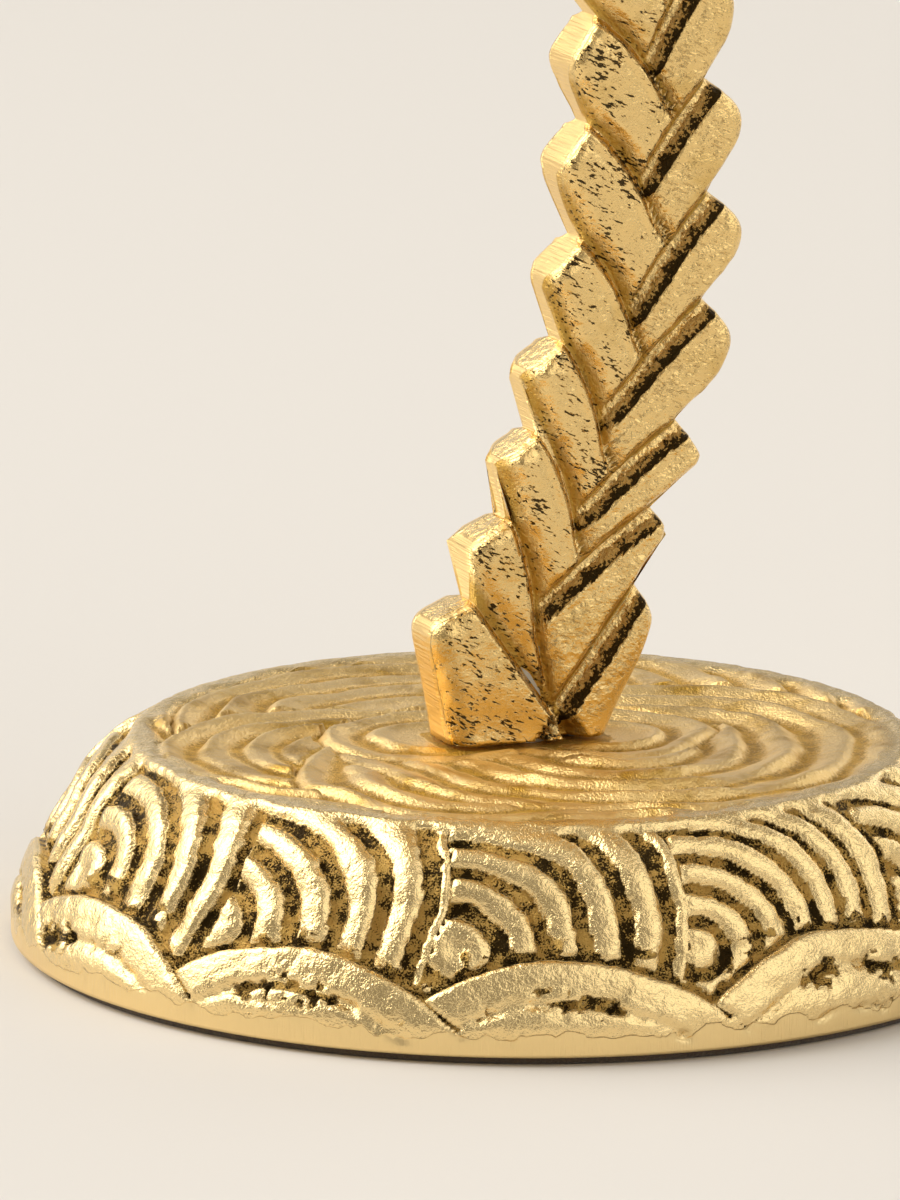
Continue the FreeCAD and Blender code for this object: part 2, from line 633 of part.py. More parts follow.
def crown_hub():
    """Disc on the trunk's top with a radial slot for each frond's tang and a ring groove for its hook."""
    hub = Part.makeCylinder(HUB_DIAMETER / 2, HUB_HEIGHT, UP * TRUNK_TOP_Z, UP)
    lower_rim = [e for e in hub.Edges if e.BoundBox.ZMax < TRUNK_TOP_Z + HUB_HEIGHT / 2]
    hub = hub.makeChamfer(HUB_CHAMFER, lower_rim)
    slot_floor = HUB_TOP_Z - TANG_HEIGHT - SLOT_CLEARANCE
    slots = []
    for angle in frond_angles():
        slot = Part.makeBox(
            HUB_DIAMETER, TANG_WIDTH + 2 * SLOT_CLEARANCE, TANG_HEIGHT + SLOT_CLEARANCE + CUT_OVERRUN,
            Vector(HOOK_DISTANCE - SLOT_CLEARANCE, -TANG_WIDTH / 2 - SLOT_CLEARANCE, slot_floor))
        slot.rotate(ORIGIN, UP, angle)
        slots.append(slot)
    groove = tube(
        HOOK_DISTANCE + HOOK_LENGTH + SLOT_CLEARANCE, HOOK_DISTANCE - SLOT_CLEARANCE,
        TANG_HEIGHT + HOOK_DEPTH + 2 * SLOT_CLEARANCE + CUT_OVERRUN, UP * (slot_floor - HOOK_DEPTH - SLOT_CLEARANCE))
    screw_hole = Part.makeCylinder(
        CUP_SCREW_DIAMETER / 2 + SCREW_HOLE_CLEARANCE, HUB_HEIGHT + 2 * CUT_OVERRUN,
        UP * (TRUNK_TOP_Z - CUT_OVERRUN), UP)
    pin_hole = blind_hole(
        CROWN_PIN_DIAMETER / 2 + PIN_CLEARANCE, CROWN_PIN_IN_HUB + PIN_CLEARANCE, CROWN_PIN_OFFSET, TRUNK_TOP_Z, 1)
    return hub.cut(slots + [groove, screw_hole, pin_hole])


def crown_pin():
    start = Vector(CROWN_PIN_OFFSET, 0, TRUNK_TOP_Z - CROWN_PIN_IN_TRUNK)
    return Part.makeCylinder(CROWN_PIN_DIAMETER / 2, CROWN_PIN_IN_TRUNK + CROWN_PIN_IN_HUB, start, UP)


def crown_cap():
    return tube(
        HUB_DIAMETER / 2, CUP_SCREW_DIAMETER / 2 + SCREW_HOLE_CLEARANCE, CAP_THICKNESS, UP * HUB_TOP_Z)


def frond(reach, crest, drop):
    """One frond along +X: an arched blade cut into leaflets, a midrib, and a hooked tang for the hub."""
    root = HUB_DIAMETER / 2
    tang_top = HUB_TOP_Z
    tang_mid = tang_top - TANG_HEIGHT / 2
    span = reach - root
    start = Vector(root, 0, tang_mid)
    middle = Vector(root + span * CREST_SHARE, 0, tang_mid + crest)
    end = Vector(reach, 0, tang_mid - drop)
    centre = Part.Arc(start, middle, end).toShape().Curve.Center

    def band(height, width):
        """Arched strip along the frond, of this height and width."""
        def moved(point, offset):
            return point + (point - centre).normalize() * offset
        outer = [moved(p, height / 2) for p in (start, middle, end)]
        inner = [moved(p, -height / 2) for p in (end, middle, start)]
        wire = Part.Wire([
            Part.Arc(*outer).toShape(),
            Part.LineSegment(outer[2], inner[0]).toShape(),
            Part.Arc(*inner).toShape(),
            Part.LineSegment(inner[2], outer[0]).toShape(),
        ])
        strip = Part.Face(wire).extrude(BACK * width)
        strip.translate(BACK * (-width / 2))
        return strip

    # Seen from above, each leaflet's edge sweeps out to its tip and steps back in at a notch.
    first = root + FROND_STALK
    step = (reach - first) / (LEAFLET_COUNT + LEAFLET_SWEEP_SHARE)
    edge = [(first, MIDRIB_WIDTH / 2)]
    for i in range(LEAFLET_COUNT):
        tip = first + step * (i + LEAFLET_SWEEP_SHARE)
        notch = first + step * (i + 1)
        half = FROND_WIDTH / 2 * value_at(FROND_WIDTH_SHARES, (tip - root) / span)
        edge.append((tip, half))
        edge.append((notch, half * LEAFLET_NOTCH_SHARE))
    low = UP * (tang_mid - drop - reach)
    right_side = [low + RIGHT * x - BACK * y for x, y in edge]
    left_side = [low + RIGHT * x + BACK * y for x, y in reversed(edge)]
    plan = face_of(right_side + [low + RIGHT * (reach + MIDRIB_WIDTH)] + left_side)
    blade = band(FROND_THICKNESS, FROND_WIDTH).common(plan.extrude(UP * reach * 3))
    midrib = band(MIDRIB_HEIGHT, MIDRIB_WIDTH)
    # The midrib starts outside the cap, which lies on the tang.
    cap_room = Part.makeCylinder(root + SLOT_CLEARANCE, crest + MIDRIB_HEIGHT, UP * tang_top, UP)
    midrib = midrib.cut(cap_room)

    tang = Part.makeBox(
        root + MIDRIB_WIDTH / 2 - HOOK_DISTANCE, TANG_WIDTH, TANG_HEIGHT,
        Vector(HOOK_DISTANCE, -TANG_WIDTH / 2, tang_top - TANG_HEIGHT))
    hook = Part.makeBox(
        HOOK_LENGTH, TANG_WIDTH, HOOK_DEPTH + TANG_HEIGHT / 2,
        Vector(HOOK_DISTANCE, -TANG_WIDTH / 2, tang_top - TANG_HEIGHT - HOOK_DEPTH))
    return blade.multiFuse([midrib, tang, hook]).removeSplitter()


def candle_cup():
    """Turned cup on a waisted foot, clamped to the crown by the screw through its floor."""
    foot = CUP_FOOT_DIAMETER / 2
    waist = CUP_WAIST_DIAMETER / 2
    belly_z = CUP_Z + CUP_FLOOR + CUP_WAIST_HEIGHT
    outline = [
        Vector(0, 0, CUP_Z),
        Vector(foot, 0, CUP_Z),
        Vector(foot, 0, CUP_Z + CUP_BEAD),
        Vector(waist, 0, CUP_Z + CUP_WAIST_HEIGHT),
        Vector(CUP_RADIUS, 0, belly_z),
        Vector(CUP_RADIUS, 0, CUP_TOP_Z - 2 * CUP_BEAD),
        Vector(CUP_RADIUS + CUP_BEAD, 0, CUP_TOP_Z - CUP_BEAD),
        Vector(CUP_RADIUS + CUP_BEAD, 0, CUP_TOP_Z),
        Vector(0, 0, CUP_TOP_Z),
    ]
    cup = face_of(outline).revolve(ORIGIN, UP, 360)
    well_floor = ring_floor_z() - LIFT_OUT_CLEARANCE
    well = Part.makeCylinder(CUP_BORE_RADIUS, CUP_TOP_Z - well_floor + CUT_OVERRUN, UP * well_floor, UP)
    head_room = Part.makeCylinder(
        CUP_WASHER_DIAMETER / 2 + SCREW_HOLE_CLEARANCE, CUP_HEIGHT, UP * (CUP_Z + CUP_FLOOR), UP)
    hole = Part.makeCylinder(
        CUP_SCREW_DIAMETER / 2 + SCREW_HOLE_CLEARANCE, CUP_FLOOR + 2 * CUT_OVERRUN, UP * (CUP_Z - CUT_OVERRUN), UP)
    return cup.cut([well, head_room, hole])


def ring_floor_z():
    """Underside of the candle ring's floor, just clear of the crown screw's head."""
    return CUP_Z + CUP_FLOOR + CUP_WASHER_THICKNESS + CUP_HEAD_HEIGHT + RING_SEAT_OVER_SCREW


def cup_washer():
    return tube(
        CUP_WASHER_DIAMETER / 2, CUP_SCREW_DIAMETER / 2 + SCREW_HOLE_CLEARANCE, CUP_WASHER_THICKNESS,
        UP * (CUP_Z + CUP_FLOOR))


def cup_screw():
    seat = CUP_Z + CUP_FLOOR + CUP_WASHER_THICKNESS
    length = seat - TRUNK_TOP_Z + CUP_SCREW_GRIP_IN_TRUNK
    return socket_screw(
        CUP_SCREW_DIAMETER, length, CUP_HEAD_DIAMETER, CUP_HEAD_HEIGHT,
        CUP_SOCKET_ACROSS_FLATS, CUP_SOCKET_DEPTH, UP * seat, -1)


def candle_ring():
    """Lift-out ring: a thin socket for the candle under a dished drip rim that rests on the cup."""
    bore = CANDLE_BORE / 2
    rim = RING_DRIP_DIAMETER / 2
    seat = CUP_TOP_Z
    floor = ring_floor_z()
    tray = seat + RING_DRIP_THICKNESS
    flat = CUP_RADIUS + CUP_BEAD
    outline = [
        Vector(0, 0, floor),
        Vector(RING_RADIUS, 0, floor),
        Vector(RING_RADIUS, 0, seat),
        Vector(flat, 0, seat),
        Vector(rim, 0, seat + RING_DRIP_RISE),
        Vector(rim, 0, tray + RING_DRIP_RISE),
        Vector(flat, 0, tray),
        Vector(bore, 0, tray),
        Vector(bore, 0, floor + RING_FLOOR),
        Vector(0, 0, floor + RING_FLOOR),
    ]
    return face_of(outline).revolve(ORIGIN, UP, 360)


def main():
    os.makedirs("parts", exist_ok=True)
    nodes = {
        "base": base(),
        "felt_pad": felt_pad(),
        "foot_screw": foot_screw(),
        "foot_washer": foot_washer(),
        "foot_lock_washer": foot_lock_washer(),
        "foot_pin": foot_pin(),
        "trunk": trunk(),
        "crown_hub": crown_hub(),
        "crown_pin": crown_pin(),
        "crown_cap": crown_cap(),
        "candle_cup": candle_cup(),
        "cup_washer": cup_washer(),
        "cup_screw": cup_screw(),
        "candle_ring": candle_ring(),
    }
    kinds = (
        frond(LONG_REACH, LONG_CREST, LONG_DROP),
        frond(SHORT_REACH, SHORT_CREST, SHORT_DROP),
    )
    for i, angle in enumerate(frond_angles()):
        turned = kinds[i % 2].copy()
        turned.rotate(ORIGIN, UP, angle)
        nodes[f"frond_{i + 1}"] = turned
    for name, shape in nodes.items():
        print(f"{name}: {len(shape.Solids)} solid, {shape.Volume:.1f} mm3, valid {shape.isValid()}")
        shape.exportStep(f"parts/{name}.step")


main()
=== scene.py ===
import math

import bpy
import numpy as np
from mathutils import Matrix, Vector


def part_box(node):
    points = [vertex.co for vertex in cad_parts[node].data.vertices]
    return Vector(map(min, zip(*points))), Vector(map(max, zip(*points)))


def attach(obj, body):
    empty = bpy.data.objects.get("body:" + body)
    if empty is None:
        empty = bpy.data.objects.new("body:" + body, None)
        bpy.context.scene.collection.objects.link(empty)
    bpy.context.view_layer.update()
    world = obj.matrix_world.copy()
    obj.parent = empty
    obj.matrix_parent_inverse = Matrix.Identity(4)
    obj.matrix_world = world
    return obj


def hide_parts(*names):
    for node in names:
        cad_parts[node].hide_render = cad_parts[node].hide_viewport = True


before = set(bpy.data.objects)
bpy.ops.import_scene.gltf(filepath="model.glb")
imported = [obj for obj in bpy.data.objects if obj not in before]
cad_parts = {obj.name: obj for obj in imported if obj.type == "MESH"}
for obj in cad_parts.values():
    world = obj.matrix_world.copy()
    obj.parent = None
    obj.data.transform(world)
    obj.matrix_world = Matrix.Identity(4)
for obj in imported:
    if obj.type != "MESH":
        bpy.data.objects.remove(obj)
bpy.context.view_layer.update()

# Looks of a gold cast candle stand: a round base carved with waves, a swaying trunk of chevron scales,
# a crown of fronds and a lift-out candle ring. Lengths here are millimetres until a mesh is made.
MM = 0.001
FULL_TURN = 2 * math.pi


def corners(node):
    """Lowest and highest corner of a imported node, in millimetres."""
    return [np.array(corner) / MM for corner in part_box(node)]


BASE_LOW, BASE_HIGH = corners("base")
CUP_LOW, CUP_HIGH = corners("candle_cup")
RING_LOW, RING_HIGH = corners("candle_ring")
TRUNK_HIGH, HUB_HIGH, FELT_HIGH = [corners(node)[1] for node in ("trunk", "crown_hub", "felt_pad")]

# Base: its profile and the carving on it
BASE_RADIUS, BASE_FLOOR, BASE_TOP = BASE_HIGH[0], BASE_LOW[2], BASE_HIGH[2]
RIM_BAND_HEIGHT = 3.0
GROUND_SOFTNESS = 0.1
SHOULDER_RADIUS, SHOULDER_HEIGHT = 49.2, 14.3
TOP_RADIUS = 41.5
FLANK_BULGE, SHOULDER_BULGE = 0.5, 1.2
BASE_WALL = 4.5
BASE_TOP_THICKNESS = 5.0
BOSS_RADIUS, BOSS_DEPTH = 15.0, 8.0

UPPER_WAVE_DEPTH = 0.95
UPPER_WAVE_STRETCH = 1.1
UPPER_WAVE_SET_BACK = 0.45
# Each wave of the upper row: turn from the front in degrees, height of its centre up the flank,
# distance between its ridges, and reach. The lower row's waves are given in the same way.
UPPER_WAVES = (
    (-87.3, 12.3, 4.5, 23.0), (-59.8, 11.5, 4.4, 23.5), (-28.8, 11.4, 4.2, 22.8), (-0.8, 11.0, 3.5, 25.0),
    (28.9, 12.0, 4.3, 23.0), (59.0, 11.6, 4.4, 23.4), (90.0, 11.2, 4.1, 23.0), (121.0, 12.0, 4.5, 23.6),
    (151.0, 11.5, 3.9, 23.0), (181.0, 11.2, 4.4, 23.2), (212.0, 12.0, 4.2, 23.6), (242.0, 11.6, 4.5, 23.2),
)
LOWER_WAVE_BAND = 4.6
LOWER_WAVE_GROOVE = 0.75
LOWER_WAVE_FOOT = -1.45
LOWER_WAVES = [(turn, centre, LOWER_WAVE_BAND, 26.3) for turn, centre in (
    (-78.5, -16.0), (-47.7, -16.0), (-16.3, -15.9), (17.9, -15.1), (47.0, -15.8), (76.5, -16.2),
    (106.0, -15.6), (135.0, -16.0), (164.5, -15.7), (194.0, -16.1), (223.5, -15.8), (252.5, -15.9))]

# Swirl of waves on the base's top: centre, distance between ridges, reach, and the bare spot in its middle
TOP_WAVE_DEPTH = 0.72
TOP_WAVES = (
    (9.0, -3.0, 5.0, 12.0, 3.0), (-9.0, 3.0, 5.0, 12.0, 3.0), (8.5, -8.5, 5.1, 30.0, 3.0),
    (-10.0, -16.0, 5.0, 20.5, 4.0), (-19.0, -2.0, 4.3, 21.5, 6.0), (-8.0, 10.0, 5.0, 27.5, 9.0),
    (8.0, 19.0, 5.2, 60.0, 9.0),
)
TOP_WAVE_FADE = 2.2
SEAT_CENTRE_X = -0.45
SEAT_HALF_WIDTH, SEAT_HALF_DEPTH = 9.5, 5.3
SEAT_CORNER = 1.5
SEAT_GAP = 0.5


def smooth(low, high, value):
    """0 below low, 1 above high, and a smooth climb between them."""
    t = np.clip((value - low) / (high - low), 0.0, 1.0)
    return t * t * (3.0 - 2.0 * t)


def bell(value, width):
    """1 at zero, falling away over the given width."""
    return np.exp(-(value / width) ** 2)


class Grain:
    """Smooth random field from -1 to 1, on a lattice that repeats far away."""
    CELLS = 48

    def __init__(self, seed):
        self.table = np.random.default_rng(seed).uniform(-1.0, 1.0, (self.CELLS,) * 3)

    def __call__(self, points, size, shift=0.0):
        spot = (np.asarray(points, float) + shift) / size
        cell = np.floor(spot).astype(int)
        t = spot - cell
        t = t * t * (3.0 - 2.0 * t)
        total = 0.0
        for corner in np.ndindex(2, 2, 2):
            share = np.prod(np.abs(1 - np.array(corner) - t), -1)
            index = (cell + corner) % self.CELLS
            total = total + share * self.table[tuple(np.moveaxis(index, -1, 0))]
        return total


broad, fine = Grain(23), Grain(11)


def make_mesh(name, points, faces, attributes=None):
    """Smooth-shaded mesh object from points in millimetres, with float attributes on its points."""
    mesh = bpy.data.meshes.new(name)
    mesh.from_pydata((np.asarray(points) * MM).tolist(), [], faces)
    for key, values in (attributes or {}).items():
        layer = mesh.attributes.new(key, "FLOAT", "POINT")
        layer.data.foreach_set("value", np.ascontiguousarray(values, dtype=np.float32))
    mesh.polygons.foreach_set("use_smooth", [True] * len(mesh.polygons))
    mesh.update()
    return add_object(name, mesh)


def add_object(name, data):
    made = bpy.data.objects.new(name, data)
    bpy.context.scene.collection.objects.link(made)
    return made


def band_faces(lower, upper):
    """Faces between two closed loops of point numbers, of which the upper has as many or half as many points."""
    n, m = len(lower), len(upper)
    if n == m:
        return [(lower[i], lower[(i + 1) % n], upper[(i + 1) % n], upper[i]) for i in range(n)]
    faces = []
    for i in range(m):
        a, b, c = lower[2 * i], lower[2 * i + 1], lower[(2 * i + 2) % n]
        faces += [(a, b, upper[i]), (b, c, upper[(i + 1) % m], upper[i])]
    return faces


def fan(loop, centre):
    """Triangles from a closed loop of point numbers to one point."""
    return [(loop[k], loop[(k + 1) % len(loop)], centre) for k in range(len(loop))]


def turned_over(faces):
    return [face[::-1] for face in faces]


def circle(points, radius, z, columns, start=0.0):
    """Adds a circle of points, or one point on the axis, and returns their numbers."""
    first = len(points)
    for k in range(columns if radius > 0 else 1):
        angle = start + FULL_TURN * k / columns
        points.append((radius * math.cos(angle), radius * math.sin(angle), z))
    return list(range(first, len(points)))


def turned_skin(profile, columns=128, joined=False):
    """Points and faces of a closed body turned about Z, whose profile ends on the axis or joins its own start."""
    points, faces = [], []
    loops = [circle(points, radius, z, columns) for radius, z in profile]
    for lower, upper in zip(loops, loops[1:] + (loops[:1] if joined else [])):
        if len(lower) == 1:
            faces += turned_over(fan(upper, lower[0]))
        else:
            faces += fan(lower, upper[0]) if len(upper) == 1 else band_faces(lower, upper)
    return points, faces


def arc_points(start, end, bulge, count):
    """Points along a shallow arc that stands off its chord by bulge, to the right of the way it runs."""
    start, end = np.array(start, float), np.array(end, float)
    chord = end - start
    side = np.array([chord[1], -chord[0]]) / np.hypot(*chord)
    shares = np.linspace(0.0, 1.0, count + 1)[1:, None]
    return start + chord * shares + side * bulge * 4 * shares * (1 - shares)


class BaseProfile:
    """The base's outline from its lower rim up the flank and over the shoulder to the flat top."""

    def __init__(self):
        foot = np.array([(BASE_RADIUS, BASE_FLOOR), (BASE_RADIUS, BASE_FLOOR + RIM_BAND_HEIGHT)])
        shoulder = (SHOULDER_RADIUS, BASE_FLOOR + SHOULDER_HEIGHT)
        flank = arc_points(foot[-1], shoulder, FLANK_BULGE, 24)
        round_over = arc_points(shoulder, (TOP_RADIUS, BASE_TOP), SHOULDER_BULGE, 24)
        self.line = np.vstack([foot, flank, round_over])
        self.length = np.r_[0.0, np.cumsum(np.hypot(*np.diff(self.line, axis=0).T))]
        self.reach = self.length[-1]

    def place(self, along):
        """Radius and height at a length along the outline; past its end it runs inwards, level."""
        radius = np.interp(along, self.length, self.line[:, 0]) - np.maximum(along - self.reach, 0.0)
        return radius, np.interp(along, self.length, self.line[:, 1])

    def outward(self, along, step=0.6):
        """Outward direction (radial, up) of the outline there."""
        (r0, z0), (r1, z1) = self.place(along - step), self.place(along + step)
        size = np.hypot(r1 - r0, z1 - z0)
        return (z1 - z0) / size, (r0 - r1) / size


def turn_past(turn, degrees):
    """How far each spot is turned past a wave's centre, from minus to plus half a turn."""
    return (turn - math.radians(degrees) + math.pi) % FULL_TURN - math.pi


def leftmost(turn, height, waves, radius, stretch, warp):
    """The leftmost wave that covers each spot: distance from its centre, its pitch, and how far it reaches on."""
    best = np.full(turn.shape, -np.inf)
    inside, pitch, rest = np.zeros(turn.shape), np.ones(turn.shape), np.full(turn.shape, np.inf)
    for wave_turn, centre, spacing, reach in waves:
        across = turn_past(turn, wave_turn)
        away = np.hypot(across * radius / stretch, height - centre) + warp
        chosen = (away < reach) & (across > best)
        best[chosen], inside[chosen], pitch[chosen] = across[chosen], away[chosen], spacing
        rest[chosen] = reach - away[chosen]
    return inside, pitch, rest, best > -np.inf


def ring_valleys(away, pitch, ragged):
    """Depth share (0 on a ridge, 1 in a valley) of the rings round a wave's centre."""
    phase = away / pitch + ragged
    phase = phase - np.round(phase)
    valley = smooth(-0.31, -0.18, phase) * (1.0 - smooth(0.08, 0.15, phase))
    return valley * smooth(0.55, 0.75, away / pitch)


def flank_relief(turn, along, radius, points):
    """Carved height and roughness on the flank: an upper row of ringed waves behind a lower row of broad ones; the
    roughness share also marks the valleys and grooves that the material paints with shade.
    """
    crisp = fine(points, 1.3)
    wobble = 0.45 * broad(points, 6.0) + 0.12 * crisp
    ragged = 0.035 * broad(points, 2.4, 19.0) + 0.05 * fine(points, 0.8, 37.0)
    away, pitch, rest, _ = leftmost(turn, along, UPPER_WAVES, radius, UPPER_WAVE_STRETCH, wobble)
    nearest = np.full(turn.shape, np.inf)
    for wave_turn, centre, _, reach in LOWER_WAVES:
        across = turn_past(turn, wave_turn)
        nearest = np.minimum(nearest, np.hypot(across * radius, along - centre) + wobble - reach)
    # The rings of the upper row lose height and grow rough towards the lower row
    worn = 1.0 - smooth(0.6, 4.2, nearest + 1.6 * broad(points, 3.0, 43.0))
    worn_grain = fine(points, 0.9, 61.0)
    valley = ring_valleys(away, pitch, ragged)
    valley = np.maximum(valley * smooth(0.0, 0.6, rest), 0.75 * bell(rest, 0.3))
    depth = UPPER_WAVE_DEPTH * (1.0 + 0.35 * broad(points, 5.0, 71.0)) * (1.0 - 0.45 * worn)
    crown = 0.20 * np.cos(FULL_TURN * (away / pitch - 0.5)) * (1.0 - valley)
    height = crown - depth * valley - UPPER_WAVE_SET_BACK + worn * (0.2 * worn_grain - 0.35)
    rough = np.maximum(valley, 0.75 * worn * smooth(-0.1, 0.4, worn_grain))
    groove = 1.0 - smooth(0.25, 0.75, nearest + 0.3 * crisp)
    height += (LOWER_WAVE_FOOT - height) * groove
    rough = np.maximum(rough, 1.3 * groove)

    # Broad leathery bands inside the lower row, with pitted grooves between them
    _, _, rest, covered = leftmost(turn, along, LOWER_WAVES, radius, 1.0, wobble)
    band = (rest / LOWER_WAVE_BAND) % 1.0
    between = np.minimum(band, 1.0 - band) * LOWER_WAVE_BAND
    patchy = smooth(-0.45, 0.35, broad(points, 4.0, 31.0))
    pitted = smooth(0.0, 0.25, fine(points, 0.75, 11.0) + 0.35 * broad(points, 1.9, 7.0))
    line = bell(between + 0.2 * crisp, 0.5) * (rest > LOWER_WAVE_BAND / 2)
    groove = np.maximum(line * (0.35 + 0.65 * pitted), 0.45 * line)
    pits = pitted * patchy * bell(between, 1.3 + 0.8 * patchy) * smooth(1.8, 3.0, rest)
    seam = bell(rest, 0.3)
    swell = 0.10 * np.sin(np.pi * np.clip(band, 0.0, 1.0)) + 0.10 * broad(points, 2.6, 5.0)
    low_height = swell - LOWER_WAVE_GROOVE * groove - 0.4 * pits - 0.7 * seam * (along > 3.0)
    low_height += 0.07 * fine(points, 0.8, 23.0)
    low_rough = np.maximum(np.maximum(0.9 * line * patchy, 0.9 * pits), seam)
    inside = smooth(-0.1, 0.3, rest) * covered
    height = np.where(covered, LOWER_WAVE_FOOT + (low_height - LOWER_WAVE_FOOT) * inside, height)
    return height, np.where(covered, np.maximum(low_rough, 1 - inside), rough)


def top_relief(points):
    """Carved height and roughness on the top: a swirl of overlapping waves round the trunk's seat, and a painted
    contact shadow round the trunk's foot, carried in the roughness share.
    """
    x, y = points[..., 0], points[..., 1]
    wobble = 1.5 * broad(points, 9.0, 57.0) + 0.45 * broad(points, 3.5, 9.0)
    height, rough = np.zeros(x.shape), np.zeros(x.shape)
    free = np.ones(x.shape, bool)
    for centre_x, centre_y, pitch, reach, bare in TOP_WAVES:
        away = np.hypot(x - centre_x, y - centre_y) + wobble
        chosen = free & (away < reach)
        phase = ((reach - away) / pitch) % 1.0
        # Each ring drops gently inwards from a thin crest to the foot of the next one
        ring = smooth(0.0, 0.32, phase) * (1.0 - smooth(0.30, 1.0, phase))
        ring = 0.4 + (ring - 0.4) * smooth(bare, bare + 3.0, away)
        height[chosen] = (TOP_WAVE_DEPTH * (ring * 1.25 - 0.5))[chosen]
        rough[chosen] = (0.62 * (1.0 - ring))[chosen]
        free &= ~chosen
    # Distance outside the trunk's seat, which stands a little proud of the carving round it
    seat = np.hypot(
        np.maximum(np.abs(x - SEAT_CENTRE_X) - SEAT_HALF_WIDTH + SEAT_CORNER, 0.0),
        np.maximum(np.abs(y) - SEAT_HALF_DEPTH + SEAT_CORNER, 0.0)) - SEAT_CORNER
    calm = smooth(-2.6, -1.5, seat)
    strength = 1.0 + 0.75 * broad(points, 7.0, 83.0)
    # Painted contact shadow: a band round the trunk's foot is marked fully rough, so the material colours it deep
    # gold with dark specks
    foot_contact_shadow = 1.0 - smooth(0.5, 1.3, np.abs(seat + 0.9))
    waves = height * strength * smooth(-0.5, 1.5, seat)
    return waves - SEAT_GAP * calm + 0.15 * smooth(0.5, 5.0, seat), np.maximum(rough * calm, foot_contact_shadow)


def base_body():
    """The base as one closed shell: carved flank and top, and a plain hollow underneath."""
    profile = BaseProfile()
    crease = profile.reach
    steps = (
        (np.linspace(0.0, 2.4, 8), 720), (np.arange(2.7, crease + 13.0, 0.375), 720),
        (np.arange(crease + 13.2, crease + 27.0, 0.43), 360),
        (np.arange(crease + 27.2, crease + TOP_RADIUS - 2.0, 0.55), 180))
    points, loops = [], []
    attributes = {"rough": [], "ground": [], "level": []}
    for lengths, columns in steps:
        turn, along = np.meshgrid(FULL_TURN * np.arange(columns) / columns, lengths)
        radius, z = profile.place(along)
        spots = np.stack([radius * np.sin(turn), -radius * np.cos(turn), z], -1)
        flank, flank_rough = flank_relief(turn, along, radius, spots)
        top, top_rough = top_relief(spots)
        ragged = 0.7 * broad(spots, 3.0) + 0.4 * fine(spots, 1.1)
        on_flank = smooth(1.5, 3.0, along + 1.3 * ragged)
        on_flank *= 1.0 - smooth(crease - 1.6, crease - 0.3, along + 0.5 * ragged)
        on_top = smooth(crease + 0.9, crease + 0.9 + TOP_WAVE_FADE, along + ragged)
        height = flank * on_flank + top * on_top
        # The rim band is ground flat, so nothing there stands out past its cylinder
        room = BASE_RADIUS - radius - height
        height += room - GROUND_SOFTNESS * np.logaddexp(0.0, room / GROUND_SOFTNESS)
        height += (0.06 * fine(spots, 1.0) + 0.05 * broad(spots, 1.9)) * smooth(2.0, 4.0, along)
        radial, up = profile.outward(along)
        spots += height[..., None] * np.stack([radial * np.sin(turn), -radial * np.cos(turn), up], -1)
        # The rough share also tells the material where to paint shade: valleys, grooves and a contact shadow round
        # the trunk's foot
        attributes["rough"].extend(np.maximum(flank_rough * on_flank, top_rough * on_top).ravel())
        attributes["ground"].extend((1.0 - smooth(1.9, 2.8, along + 1.3 * ragged)).ravel())
        attributes["level"].extend(on_top.ravel())
        for row in spots.tolist():
            loops.append(list(range(len(points), len(points) + columns)))
            points += row
    # The hollow underneath, from the rim's inner edge to the boss
    under_top, front = BASE_TOP - BASE_TOP_THICKNESS, -math.pi / 2
    inner = [loops[0]] + [circle(points, radius, z, columns, front) for radius, z, columns in (
        (BASE_RADIUS - BASE_WALL, BASE_FLOOR, 720),
        (BASE_RADIUS - BASE_WALL, BASE_FLOOR + RIM_BAND_HEIGHT, 360),
        (SHOULDER_RADIUS - BASE_WALL, BASE_FLOOR + SHOULDER_HEIGHT - BASE_WALL / 2, 180),
        (TOP_RADIUS, under_top, 90), (BOSS_RADIUS, under_top, 90), (BOSS_RADIUS, under_top - BOSS_DEPTH, 90))]
    boss_centre, top_centre = len(points), len(points) + 1
    points += [(0.0, 0.0, under_top - BOSS_DEPTH), (0.0, 0.0, BASE_TOP)]
    faces = fan(loops[-1], top_centre) + turned_over(fan(inner[-1], boss_centre))
    for lower, upper in zip(loops, loops[1:]):
        faces += band_faces(lower, upper)
    for outer, within in zip(inner, inner[1:]):
        faces += turned_over(band_faces(outer, within))
    for values in attributes.values():
        values.extend([0.0] * (len(points) - len(values)))
    return make_mesh("carved_base", points, faces, attributes)


# Trunk: the sway and width of the plate against shares of its height, and where its scales' tips stand
TRUNK_HEIGHT = TRUNK_HIGH[2] - BASE_TOP
TRUNK_WIDTH = 25.6
TRUNK_SWAY = 13.2
SWAY_SHARES = (
    (0.00, 0.00), (0.076, 0.09), (0.133, 0.36), (0.19, 0.585), (0.253, 0.80), (0.316, 0.94),
    (0.386, 0.985), (0.456, 1.00), (0.52, 0.94), (0.64, 0.72), (0.78, 0.36), (0.90, 0.08), (1.00, 0.00),
)
WIDTH_SHARES = (
    (0.00, 0.84), (0.07, 0.92), (0.133, 0.87), (0.19, 0.87), (0.253, 0.88), (0.316, 0.85),
    (0.386, 0.82), (0.456, 0.75), (0.52, 0.72), (0.70, 0.68), (0.88, 0.64), (1.00, 0.62),
)
LEFT_SCALES = {
    "name": "left", "way": -1, "angle": 37.0, "cap": (3.8, 4.5), "belly": 0.35, "notch_fill": 0.3, "bow": 0.75,
    "cove": 0.9, "dive": 2.3, "shares": (
        0.105, 0.168, 0.230, 0.305, 0.388, 0.464, 0.534, 0.600, 0.663, 0.723, 0.780, 0.834, 0.885, 0.935)}
